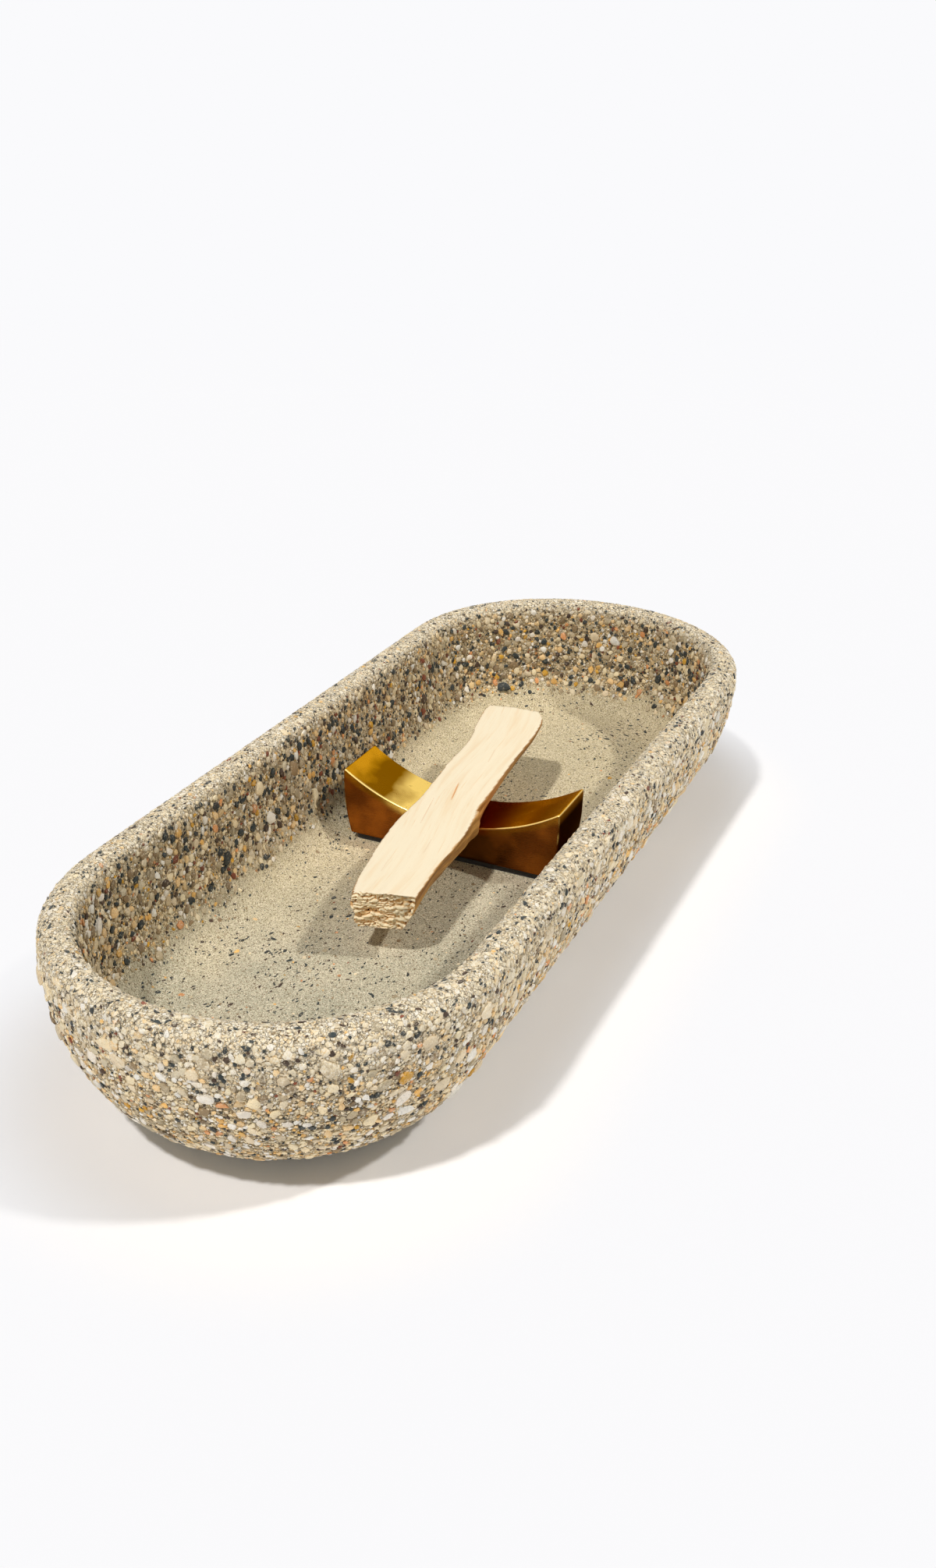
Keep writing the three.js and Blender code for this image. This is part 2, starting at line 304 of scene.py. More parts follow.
class Nodes:
    """Adds the shader nodes of one material and joins them."""

    def __init__(self, name: str) -> None:
        """Starts a material with its coordinates in millimetres.

        Args:
            name: the material's name.
        """
        self.material = bpy.data.materials.new(name)
        self.material.use_nodes = True
        self.tree = self.material.node_tree
        self.shader = self.tree.nodes["Principled BSDF"]
        texture = self.add("ShaderNodeTexCoord")
        self.place = self.mapped(texture.outputs["Object"], (PER_MM, PER_MM, PER_MM))

    def add(self, kind: str) -> bpy.types.Node:
        """Adds a node of this kind."""
        return self.tree.nodes.new(kind)

    def put(self, socket: Socket, value: object) -> None:
        """Joins a socket to another one, or sets it to a plain value.

        Args:
            socket: the input.
            value: another node's output, or a plain value.
        """
        if isinstance(value, bpy.types.NodeSocket):
            self.tree.links.new(value, socket)
        else:
            socket.default_value = value

    def mapped(self, at: Socket, scale: tuple[float, float, float]) -> Socket:
        """Scales coordinates by a factor along each axis.

        Args:
            at: the coordinates.
            scale: the factors.

        Returns:
            The scaled coordinates.
        """
        node = self.add("ShaderNodeMapping")
        node.inputs["Scale"].default_value = scale
        self.put(node.inputs["Vector"], at)
        return node.outputs["Vector"]

    def noise(
        self,
        scale: float,
        detail: float = 3.0,
        rough: float = 0.55,
        at: Socket | None = None,
        colour: bool = False,
    ) -> Socket:
        """Adds a noise texture.

        Args:
            scale: blobs for each unit of the coordinates.
            detail: octaves.
            rough: weight of the finer octaves.
            at: coordinates, or None for millimetres.
            colour: gives three channels in place of one value.

        Returns:
            The value or the colour.
        """
        node = self.add("ShaderNodeTexNoise")
        self.put(node.inputs["Vector"], at or self.place)
        node.inputs["Scale"].default_value = scale
        node.inputs["Detail"].default_value = detail
        node.inputs["Roughness"].default_value = rough
        return node.outputs["Color" if colour else "Fac"]

    def cells(self, scale: float, at: Socket | None = None) -> tuple[Socket, Socket]:
        """Adds a cell texture.

        Args:
            scale: cells for each unit of the coordinates.
            at: coordinates, or None for millimetres.

        Returns:
            The distance to the cell's middle, and a random value for each cell.
        """
        node = self.add("ShaderNodeTexVoronoi")
        self.put(node.inputs["Vector"], at or self.place)
        node.inputs["Scale"].default_value = scale
        split = self.add("ShaderNodeSeparateColor")
        self.put(split.inputs["Color"], node.outputs["Color"])
        return node.outputs["Distance"], split.outputs["Red"]

    def seams(self, scale: float, at: Socket | None = None) -> Socket:
        """Adds a cell texture that gives the distance to the nearest seam between cells.

        Args:
            scale: cells for each unit of the coordinates.
            at: coordinates, or None for millimetres.

        Returns:
            The distance.
        """
        node = self.add("ShaderNodeTexVoronoi")
        node.feature = "DISTANCE_TO_EDGE"
        self.put(node.inputs["Vector"], at or self.place)
        node.inputs["Scale"].default_value = scale
        return node.outputs["Distance"]

    def warped(self, scale: float, amount: float) -> Socket:
        """Shifts the coordinates by noise, so that cells get ragged outlines.

        Args:
            scale: blobs for each millimetre.
            amount: the largest shift, in millimetres.

        Returns:
            The shifted coordinates.
        """
        centred = self.vector("SUBTRACT", self.noise(scale, detail=2.0, colour=True), (0.5, 0.5, 0.5))
        return self.vector("MULTIPLY_ADD", centred, (2 * amount, 2 * amount, 2 * amount), self.place)

    def vector(self, kind: str, *values: object) -> Socket:
        """Adds a vector math node, such as SUBTRACT or LENGTH.

        Args:
            kind: the operation.
            values: its inputs, as sockets or plain vectors.

        Returns:
            The number that LENGTH gives, or else a vector.
        """
        node = self.add("ShaderNodeVectorMath")
        node.operation = kind
        for socket, value in zip(node.inputs, values):
            self.put(socket, value)
        return node.outputs["Value" if kind == "LENGTH" else "Vector"]

    def attribute(self, name: str, output: str = "Fac") -> Socket:
        """Reads one of the mesh's own attributes.

        Args:
            name: the attribute's name.
            output: what is read of it: Fac, Color, Vector or Alpha.

        Returns:
            What was read.
        """
        node = self.add("ShaderNodeAttribute")
        node.attribute_name = name
        return node.outputs[output]

    def ramp(self, factor: Socket, stops: list[tuple[float, Colour]], steps: bool = False) -> Socket:
        """Turns a value into a colour.

        Args:
            factor: the value.
            stops: places and their colours, in order.
            steps: changes colour abruptly at each stop.

        Returns:
            The colour.
        """
        node = self.add("ShaderNodeValToRGB")
        self.put(node.inputs["Fac"], factor)
        band = node.color_ramp
        band.interpolation = "CONSTANT" if steps else "LINEAR"
        band.elements.remove(band.elements[1])
        band.elements[0].position, band.elements[0].color = stops[0]
        for place, colour in stops[1:]:
            band.elements.new(place).color = colour
        return node.outputs["Color"]

    def between(
        self, value: Socket, low: float, high: float, to: tuple[float, float] = (0.0, 1.0)
    ) -> Socket:
        """Maps a value smoothly from low..high to another range.

        Args:
            value: the value.
            low: what becomes the range's start.
            high: what becomes its end.
            to: the range.

        Returns:
            The mapped value.
        """
        node = self.add("ShaderNodeMapRange")
        node.interpolation_type = "SMOOTHSTEP"
        self.put(node.inputs["Value"], value)
        node.inputs["From Min"].default_value = low
        node.inputs["From Max"].default_value = high
        node.inputs["To Min"].default_value = to[0]
        node.inputs["To Max"].default_value = to[1]
        return node.outputs["Result"]

    def maths(self, kind: str, first: object, second: object = 0.0) -> Socket:
        """Adds a math node, such as MULTIPLY or ADD.

        Args:
            kind: the operation.
            first: a number or a socket.
            second: a number or a socket.

        Returns:
            The result.
        """
        node = self.add("ShaderNodeMath")
        node.operation = kind
        self.put(node.inputs[0], first)
        self.put(node.inputs[1], second)
        return node.outputs["Value"]

    def mix(self, factor: object, first: object, second: object) -> Socket:
        """Mixes two colours.

        Args:
            factor: share of the second.
            first: a colour or a socket.
            second: a colour or a socket.

        Returns:
            The mixed colour.
        """
        node = self.add("ShaderNodeMix")
        node.data_type = "RGBA"
        for socket, value in zip(MIX_COLOUR_INPUTS, (factor, first, second)):
            self.put(node.inputs[socket], value)
        return node.outputs[MIX_COLOUR_OUTPUT]

    def bump(self, *layers: tuple[Socket, float, float]) -> None:
        """Puts bumps on the shader, one over another.

        Args:
            layers: for each, its height, its strength and its depth in metres.
        """
        normal = None
        for height, strength, depth in layers:
            node = self.add("ShaderNodeBump")
            node.inputs["Strength"].default_value = strength
            node.inputs["Distance"].default_value = depth
            self.put(node.inputs["Height"], height)
            if normal is not None:
                self.put(node.inputs["Normal"], normal)
            normal = node.outputs["Normal"]
        self.put(self.shader.inputs["Normal"], normal)

    def finish(self, **values: object) -> bpy.types.Material:
        """Sets the shader's sockets and gives the material.

        Args:
            values: sockets by name, with an underscore for each space.

        Returns:
            The finished material.
        """
        for name, value in values.items():
            self.put(self.shader.inputs[name.replace("_", " ")], value)
        return self.material


@dataclass(frozen=True)
class ConcreteFinish:
    """The cast skin between the stones: sandy on the walls, smooth and grey on the floor."""

    floor_pale: Colour = srgb(209, 202, 176)
    floor_dark: Colour = srgb(184, 181, 158)
    # Painted light: the warm colour of the sunlit patch on the floor.
    floor_sunlit_painted: Colour = srgb(224, 205, 158)
    paste: Colour = srgb(230, 210, 170)
    paste_inner: Colour = srgb(212, 182, 128)
    # Painted shade in the seams between grains; also the colour of the floor's dark fines.
    dark_fines_and_seam_shade: Colour = srgb(118, 94, 60)
    dusty: Colour = srgb(250, 240, 218)
    speck: Colour = srgb(40, 44, 40)
    # Painted shade: the colour of the pits beside grains.
    pit: Colour = srgb(70, 56, 38)
    # Grains for each millimetre.
    coarse_scale: float = 1.7
    fine_scale: float = 3.5
    floor_scale: float = 6.0
    lot_scale: float = 1.3
    # Where the coarse grains lie in patches, and how much paste covers the sand, out and in.
    patch_scale: float = 1.1
    patch_edge: tuple[float, float] = (0.47, 0.53)
    paste_share: tuple[float, float] = (0.08, 0.3)
    # The seams between grains, and the pits torn out beside them, both painted dark as shade.
    seam_width: tuple[float, float] = (0.015, 0.11)
    pit_scale: float = 0.85
    pit_width: tuple[float, float] = (0.024, 0.008)
    pit_patch_scale: float = 0.7
    pit_patch_edge: tuple[float, float] = (0.5, 0.58)
    # Which cells of the floor show dark and pale fines and dark specks, and how wide the specks are.
    dark_fines: tuple[float, float] = (0.77, 0.81)
    pale_fines: tuple[float, float] = (0.2, 0.16)
    speck_kinds: tuple[float, float] = (0.85, 0.88)
    speck_reach: tuple[float, float] = (0.34, 0.26)
    # How deep the skin's fine roughness and its grains are.
    skin_depth: float = 0.16 * MM
    grit_depth: float = 0.28 * MM
    # Painted light: a warm sunlit patch on the floor. Its rise for each millimetre along and across,
    # and where it shows.
    sunlit_patch_slope: tuple[float, float] = (0.014, 0.022)
    sunlit_patch_reach: tuple[float, float] = (-0.1, 1.15)
    sunlit_patch_share: float = 0.5
    grains: tuple[tuple[float, Colour], ...] = (
        (0.0, srgb(228, 206, 162)),
        (0.17, srgb(254, 242, 208)),
        (0.36, srgb(194, 174, 136)),
        (0.46, srgb(255, 252, 238)),
        (0.62, srgb(244, 212, 156)),
        (0.72, srgb(144, 118, 80)),
        (0.79, srgb(224, 196, 146)),
        (0.88, srgb(56, 52, 44)),
        (0.93, srgb(248, 232, 196)),
    )

    def sand(self, nodes: Nodes, ragged: Socket) -> Socket:
        """Colours the sand grains, coarse in patches and fine between them.

        Args:
            nodes: the material's nodes.
            ragged: coordinates that give ragged outlines.

        Returns:
            The colour.
        """
        _, coarse_kind = nodes.cells(self.coarse_scale, at=ragged)
        _, fine_kind = nodes.cells(self.fine_scale, at=ragged)
        coarse = nodes.ramp(coarse_kind, list(self.grains), steps=True)
        fine = nodes.ramp(fine_kind, list(self.grains), steps=True)
        shown = nodes.between(nodes.noise(self.patch_scale, detail=2.0), *self.patch_edge)
        ground = nodes.mix(nodes.attribute("inner"), self.paste, self.paste_inner)
        share = nodes.between(nodes.attribute("inner"), 0.0, 1.0, self.paste_share)
        return nodes.mix(share, nodes.mix(shown, fine, coarse), ground)

    def shaded_pits(self, nodes: Nodes, ragged: Socket) -> Socket:
        """Draws short curved pits beside a grain, which the colour darkens as painted shade.

        Args:
            nodes: the material's nodes.
            ragged: coordinates that give ragged outlines.

        Returns:
            1 in a pit and 0 outside.
        """
        level = nodes.maths("SUBTRACT", nodes.noise(self.pit_scale, detail=2.0, at=ragged), 0.5)
        line = nodes.between(nodes.maths("ABSOLUTE", level), *self.pit_width)
        patches = nodes.noise(self.pit_patch_scale, detail=1.0)
        return nodes.maths("MULTIPLY", line, nodes.between(patches, *self.pit_patch_edge))

    def stain(self, nodes: Nodes) -> Socket:
        """Says where a painted pool of warm light lies on the floor: behind the rest, more on the left.

        Args:
            nodes: the material's nodes.

        Returns:
            The warm colour's share.
        """
        split = nodes.add("ShaderNodeSeparateXYZ")
        nodes.put(split.inputs["Vector"], nodes.place)
        along = nodes.maths("MULTIPLY", split.outputs["X"], self.sunlit_patch_slope[0])
        across = nodes.maths("MULTIPLY", split.outputs["Y"], self.sunlit_patch_slope[1])
        reach = nodes.maths("ADD", nodes.maths("ADD", along, across), nodes.noise(0.05, detail=3.0))
        return nodes.between(reach, *self.sunlit_patch_reach, (0.0, self.sunlit_patch_share))

    def floor(self, nodes: Nodes, ragged: Socket) -> Socket:
        """Colours the smooth floor: grey-green paste, pale and dark fines, and a few specks.

        Args:
            nodes: the material's nodes.
            ragged: coordinates that give ragged outlines.

        Returns:
            The colour.
        """
        broad = nodes.noise(0.07, detail=4.0)
        skin = nodes.ramp(broad, [(0.35, self.floor_dark), (0.65, self.floor_pale)])
        # Painted light: the floor is warmer where the sunlit patch lies.
        skin = nodes.mix(self.stain(nodes), skin, self.floor_sunlit_painted)
        _, fines = nodes.cells(self.floor_scale, at=ragged)
        dark = nodes.between(fines, *self.dark_fines, (0.0, 0.8))
        skin = nodes.mix(dark, skin, self.dark_fines_and_seam_shade)
        pale = nodes.between(fines, *self.pale_fines, (0.0, 0.7))
        skin = nodes.mix(pale, skin, self.dusty)
        reach, kind = nodes.cells(self.coarse_scale, at=ragged)
        dark_kind = nodes.between(kind, *self.speck_kinds, (0.0, 0.85))
        speck = nodes.maths("MULTIPLY", nodes.between(reach, *self.speck_reach), dark_kind)
        return nodes.mix(speck, skin, self.speck)

    def material(self) -> bpy.types.Material:
        """Builds the material.

        Returns:
            The finished material.
        """
        nodes = Nodes("concrete")
        ragged = nodes.warped(1.5, 0.3)
        seam = nodes.between(nodes.seams(self.coarse_scale, at=ragged), *self.seam_width)
        torn = self.shaded_pits(nodes, ragged)
        # Painted shade: the seams between grains are darkened.
        gap = nodes.mix(0.6, self.paste, self.dark_fines_and_seam_shade)
        sand = nodes.mix(seam, gap, self.sand(nodes, ragged))
        drift = nodes.between(nodes.noise(2.4), 0.4, 0.6, (0.05, 0.8))
        sand = nodes.mix(nodes.maths("MULTIPLY", nodes.attribute("pale"), drift), sand, self.dusty)
        # Painted shade: the pits are darkened.
        sand = nodes.mix(nodes.maths("MULTIPLY", torn, 0.85), sand, self.pit)
        _, lot = nodes.cells(self.lot_scale, at=ragged)
        luck = nodes.between(lot, 0.0, 1.0, (-0.35, 0.35))
        bare = nodes.between(nodes.maths("ADD", nodes.attribute("exposed"), luck), 0.4, 0.6)
        skin = nodes.mix(bare, self.floor(nodes, ragged), sand)
        grit = nodes.maths("SUBTRACT", seam, torn)
        grit = nodes.maths("MULTIPLY", grit, nodes.between(bare, 0.0, 1.0, (0.08, 1.0)))
        nodes.bump(
            (nodes.noise(4.5, detail=3.0, rough=0.7), 0.6, self.skin_depth),
            (grit, 0.9, self.grit_depth),
        )
        roughness = nodes.between(nodes.noise(2.4, detail=4.0), 0.3, 0.7, (0.8, 0.95))
        return nodes.finish(Base_Color=skin, Roughness=roughness)


@dataclass(frozen=True)
class StoneFinish:
    """The stones in the skin, tinted by the mesh, clouded, and filmed with pale dust in patches."""

    paste: Colour = srgb(230, 210, 168)
    dusty: Colour = srgb(255, 249, 230)
    shade: Colour = srgb(80, 62, 40)
    dust_reach: float = 0.3

    def material(self) -> bpy.types.Material:
        """Builds the material. The tint's alpha says how dusty a stone is.

        Returns:
            The finished material.
        """
        nodes = Nodes("aggregate")
        tint = nodes.attribute("tint", "Color")
        cloud = nodes.noise(0.9, detail=5.0, rough=0.65)
        shaded = nodes.mix(0.5, tint, self.shade)
        toned = nodes.mix(nodes.between(cloud, 0.32, 0.6, (0.3, 0.0)), tint, shaded)
        fleck = nodes.noise(3.4, detail=3.0)
        toned = nodes.mix(nodes.between(fleck, 0.52, 0.7, (0.0, 0.3)), toned, self.shade)
        broken = nodes.noise(1.4, detail=5.0, rough=0.75)
        dust = nodes.maths("MULTIPLY", nodes.attribute("tint", "Alpha"), self.dust_reach)
        dusted = nodes.between(nodes.maths("ADD", broken, dust), 0.54, 0.78, (0.0, 0.85))
        sandy = nodes.noise(2.6, detail=3.0, rough=0.7)
        film = nodes.ramp(sandy, [(0.38, self.paste), (0.6, self.dusty)])
        skin = nodes.mix(dusted, toned, film)
        nodes.bump((nodes.noise(3.2, detail=4.0, rough=0.6), 0.7, 0.16 * MM))
        return nodes.finish(Base_Color=skin, Roughness=nodes.between(cloud, 0.3, 0.7, (0.45, 0.8)))


@dataclass(frozen=True)
class BrassFinish:
    """Satin brass with painted reflections: a bright gold band on its left, the stick's painted
    red-brown shadow on its right, sides darkened as painted reflections, edges rubbed and painted
    bright.
    """

    tip: Colour = srgb(206, 146, 34)
    dull_tip: Colour = srgb(190, 134, 44)
    olive: Colour = srgb(132, 88, 16)
    # Painted reflection: the bright band on the top.
    gold: Colour = srgb(255, 218, 120)
    umber: Colour = srgb(160, 104, 30)
    # Painted shadow: the stick's red-brown shade on the top.
    red: Colour = srgb(140, 64, 8)
    # Painted reflection: brown and deep darken the sides, which mirror the shaded floor; deep also
    # tints random tarnish patches.
    brown: Colour = srgb(160, 94, 34)
    deep: Colour = srgb(112, 62, 24)
    # Painted reflection: near-black for the end faces and for the stick's mirrored shadow on the sides.
    black: Colour = srgb(20, 14, 7)
    # Rubbed edges: partly wear, partly a painted highlight.
    edge: Colour = srgb(252, 218, 136)
    grazing: Colour = srgb(196, 168, 120)
    # Where the stick's painted dark reflection lies along the sides.
    stick_reflection_line: float = 0.38
    butt_roughness: float = 0.2

    def material(self) -> bpy.types.Material:
        """Builds the material.

        Returns:
            The finished material.
        """
        nodes = Nodes("satin_brass")
        cloud = nodes.noise(0.09, detail=3.0, rough=0.5)
        drift = nodes.between(cloud, 0.3, 0.7, (-0.04, 0.04))
        across = nodes.maths("ADD", nodes.attribute("across"), drift)
        # Painted reflections along the top: a bright gold band left of the stick, and its red-brown
        # painted shadow right of it.
        top = nodes.ramp(
            across,
            [
                (0.01, self.dull_tip),
                (0.1, self.umber),
                (0.22, self.umber),
                (0.34, self.red),
                (0.5, self.red),
                (0.6, self.gold),
                (0.73, self.gold),
                (0.81, self.olive),
                (0.9, self.olive),
                (0.98, self.tip),
            ],
        )
        # Painted reflection: the sides are darker than the top.
        flank = nodes.mix(nodes.between(cloud, 0.4, 0.66), self.brown, self.deep)
        # Painted reflection: a dark band on the sides beneath the stick.
        from_stick_reflection = nodes.maths("ABSOLUTE", nodes.maths("SUBTRACT", across, self.stick_reflection_line))
        flank = nodes.mix(nodes.between(from_stick_reflection, 0.2, 0.04, (0.0, 0.7)), flank, self.black)
        # Painted reflection: the end faces are near-black.
        flank = nodes.mix(nodes.attribute("butt"), flank, self.black)
        metal = nodes.mix(nodes.attribute("flank"), top, flank)
        stain = nodes.between(nodes.noise(0.8, detail=4.0, rough=0.6), 0.62, 0.74, (0.0, 0.3))
        metal = nodes.mix(stain, metal, self.deep)
        # Rubbed edges, partly wear and partly a painted highlight.
        rubbed_and_highlit = nodes.between(nodes.attribute("rubbed_and_highlit"), 0.2, 0.9, (0.0, 0.85))
        metal = nodes.mix(rubbed_and_highlit, metal, self.edge)
        brushed = nodes.mapped(nodes.place, (8.0, 0.3, 8.0))
        strokes = nodes.noise(1.0, detail=4.0, rough=0.65, at=brushed)
        clouded = nodes.between(cloud, 0.3, 0.7, (0.2, 0.28))
        roughness = nodes.maths("ADD", clouded, nodes.between(strokes, 0.3, 0.7, (-0.03, 0.04)))
        sawn = nodes.maths("MULTIPLY", nodes.attribute("butt"), self.butt_roughness)
        roughness = nodes.maths("ADD", roughness, sawn)
        nodes.bump((strokes, 0.2, 0.01 * MM), (nodes.noise(0.35, detail=1.0), 0.35, 0.05 * MM))
        return nodes.finish(
            Base_Color=metal, Roughness=roughness, Metallic=1.0, Specular_Tint=self.grazing
        )


@dataclass(frozen=True)
class FeltFinish:
    """Dense black felt with a short tangled pile."""

    dark: Colour = srgb(30, 29, 28)
    pale: Colour = srgb(62, 60, 58)

    def material(self) -> bpy.types.Material:
        """Builds the material.

        Returns:
            The finished material.
        """
        nodes = Nodes("felt")
        tangle = nodes.noise(2.2, detail=6.0, rough=0.75)
        hairs = nodes.noise(1.0, detail=3.0, at=nodes.mapped(nodes.warped(0.8, 0.8), (7.0, 1.4, 5.0)))
        colour = nodes.mix(nodes.between(tangle, 0.4, 0.7, (0.0, 0.7)), self.dark, self.pale)
        nodes.bump((tangle, 0.9, 0.15 * MM), (hairs, 0.6, 0.08 * MM))
        return nodes.finish(Base_Color=colour, Roughness=1.0, Sheen_Weight=0.35, Sheen_Roughness=0.5)


@dataclass(frozen=True)
class WoodFinish:
    """Raw palo santo: cream on the split top, tan on the sides, golden at the torn ends, with painted
    shade in their gaps and painted highlights on their proudest bundles.
    """

    cream: Colour = srgb(245, 232, 203)
    streak: Colour = srgb(232, 190, 128)
    amber: Colour = srgb(206, 138, 66)
    tan: Colour = srgb(222, 170, 94)
    brown: Colour = srgb(158, 108, 50)
    end_pale: Colour = srgb(255, 240, 204)
    end_gold: Colour = srgb(238, 188, 116)
    end_gap_painted_shade: Colour = srgb(84, 42, 16)

    def material(self) -> bpy.types.Material:
        """Builds the material. Its grain coordinates run along, across and through the stick.

        Returns:
            The finished material.
        """
        nodes = Nodes("palo_santo")
        grain = nodes.attribute("grain", "Vector")
        broad = nodes.noise(1.0, detail=4.0, rough=0.6, at=nodes.mapped(grain, (0.03, 0.4, 0.4)))
        fibres = nodes.noise(1.0, detail=5.0, rough=0.65, at=nodes.mapped(grain, (0.07, 2.2, 2.2)))
        rays = nodes.noise(1.0, detail=3.0, rough=0.6, at=nodes.mapped(grain, (0.4, 5.0, 5.0)))
        top = nodes.mix(nodes.between(broad, 0.46, 0.72, (0.0, 0.3)), self.cream, self.streak)
        top = nodes.mix(nodes.between(fibres, 0.56, 0.72, (0.0, 0.4)), top, self.streak)
        top = nodes.mix(nodes.between(rays, 0.65, 0.77, (0.0, 0.25)), top, self.amber)
        top = nodes.mix(nodes.attribute("split"), top, self.amber)
        flank = nodes.mix(nodes.between(broad, 0.36, 0.64), self.brown, self.tan)
        flank = nodes.mix(nodes.between(fibres, 0.4, 0.6, (0.6, 0.0)), flank, self.brown)
        skin = nodes.mix(nodes.attribute("side"), top, flank)
        # Painted shade and highlight: the torn end is dark in its deep gaps and pale on its proudest
        # bundles.
        torn = nodes.ramp(
            nodes.attribute("proud"),
            [(0.08, self.end_gap_painted_shade), (0.24, self.end_gold), (0.52, self.end_pale)],
        )
        skin = nodes.mix(nodes.attribute("end"), skin, torn)
        nodes.bump((fibres, 0.5, 0.12 * MM), (rays, 0.35, 0.05 * MM))
        return nodes.finish(Base_Color=skin, Roughness=nodes.between(fibres, 0.3, 0.7, (0.56, 0.76)))


class Zone(Enum):
    """A part of the dish's skin, by how its aggregate shows."""

    OUTER = 0
    RIM = 1
    INNER = 2
    FLOOR = 3
    BASE = 4


@dataclass(frozen=True, kw_only=True)
class Abundance:
    """How common something is in each zone that shows aggregate."""

    outer: float
    rim: float
    inner: float
    floor: float

    def within(self, zone: Zone) -> float:
        """Gives how common it is in a zone."""
        return getattr(self, zone.name.lower())


@dataclass(frozen=True)
class Mineral(Abundance):
    """One kind of stone: its colour, and its share of each zone's stones."""

    colour: Colour


MINERALS = (
    Mineral(srgb(252, 234, 194), outer=21, rim=18, inner=11, floor=2),
    Mineral(srgb(255, 250, 238), outer=19, rim=21, inner=11, floor=1),
    Mineral(srgb(242, 208, 152), outer=12, rim=7, inner=8, floor=3),
    Mineral(srgb(232, 216, 184), outer=17, rim=23, inner=13, floor=4),
    Mineral(srgb(190, 174, 142), outer=11, rim=9, inner=17, floor=7),
    Mineral(srgb(142, 120, 88), outer=7, rim=5, inner=12, floor=6),
    Mineral(srgb(212, 160, 50), outer=1.8, rim=0.5, inner=2.5, floor=0.5),
    Mineral(srgb(240, 190, 108), outer=3.5, rim=1.5, inner=3.5, floor=1),
    Mineral(srgb(230, 162, 104), outer=2, rim=0.8, inner=2.5, floor=1.5),
    Mineral(srgb(33, 44, 45), outer=6.5, rim=11, inner=20, floor=46),
    Mineral(srgb(62, 44, 30), outer=3.5, rim=4, inner=6, floor=14),
    Mineral(srgb(126, 64, 36), outer=1.5, rim=0.5, inner=2.5, floor=0.5),
)
# A stone with less green than this is a dark one.
DARK_GREEN = 0.08


class Size(Enum):
    """How large a stone is."""

    LARGE = "large"
    SMALL = "small"
    FINE = "fine"


@dataclass(frozen=True)
class Grade(Abundance):
    """A grade of stone: its half widths, its sides, and how many lie in a square millimetre."""

    size: Size
    smallest: float
    largest: float
    sides: int


GRADES = (
    Grade(Size.LARGE, 1.0 * MM, 1.75 * MM, sides=9, outer=0.01, inner=0.004, rim=0.0, floor=0.0),
    Grade(Size.LARGE, 0.62 * MM, 1.0 * MM, sides=8, outer=0.06, inner=0.1, rim=0.008, floor=0.0005),
    Grade(Size.SMALL, 0.36 * MM, 0.62 * MM, sides=7, outer=0.28, inner=0.22, rim=0.15, floor=0.014),
    Grade(Size.FINE, 0.2 * MM, 0.36 * MM, sides=5, outer=0.8, inner=0.6, rim=0.9, floor=0.13),
)


@dataclass(frozen=True)
class Seat:
    """How stones sit in a zone, as shares of their half width, and whether they were ground flat."""

    crown: float
    proud: float
    ground: bool


SEATS = {
    Zone.OUTER: Seat(crown=0.6, proud=0.3, ground=False),
    Zone.INNER: Seat(crown=0.6, proud=0.3, ground=False),
    Zone.RIM: Seat(crown=0.2, proud=0.12, ground=True),
    Zone.FLOOR: Seat(crown=0.05, proud=0.05, ground=True),
}

# The pieces that the stones are laid in: by zone and size, and the many small ones in two halves.
STONE_PIECES = (
    "stones_outer_large",
    "stones_outer_small_near",
    "stones_outer_small_far",
    "stones_outer_fine_near",
    "stones_outer_fine_far",
    "stones_inner_large",
    "stones_inner_small",
    "stones_inner_fine",
    "stones_rim",
    "stones_floor",
)


@dataclass(frozen=True)
class Chip:
    """One stone shape, two units across: its shoulder is at height 0, its crown above."""

    places: np.ndarray
    faces: list[tuple[int, ...]]


@dataclass(frozen=True)
class Stone:
    """One stone in its place, and how much of the pale ground skin it belongs to."""

    place: np.ndarray
    normal: np.ndarray
    half: float
    grade: Grade
    zone: Zone
    pale: float

    @property
    def piece(self) -> str:
        """The name of the piece it is laid in.

        Returns:
            One of STONE_PIECES.
        """
        name = f"stones_{self.zone.name.lower()}"
        if not SEATS[self.zone].ground:
            name += f"_{self.grade.size.value}"
        if self.zone is Zone.OUTER and self.grade.size is not Size.LARGE:
            name += "_near" if self.place[0] < 0 else "_far"
        return name


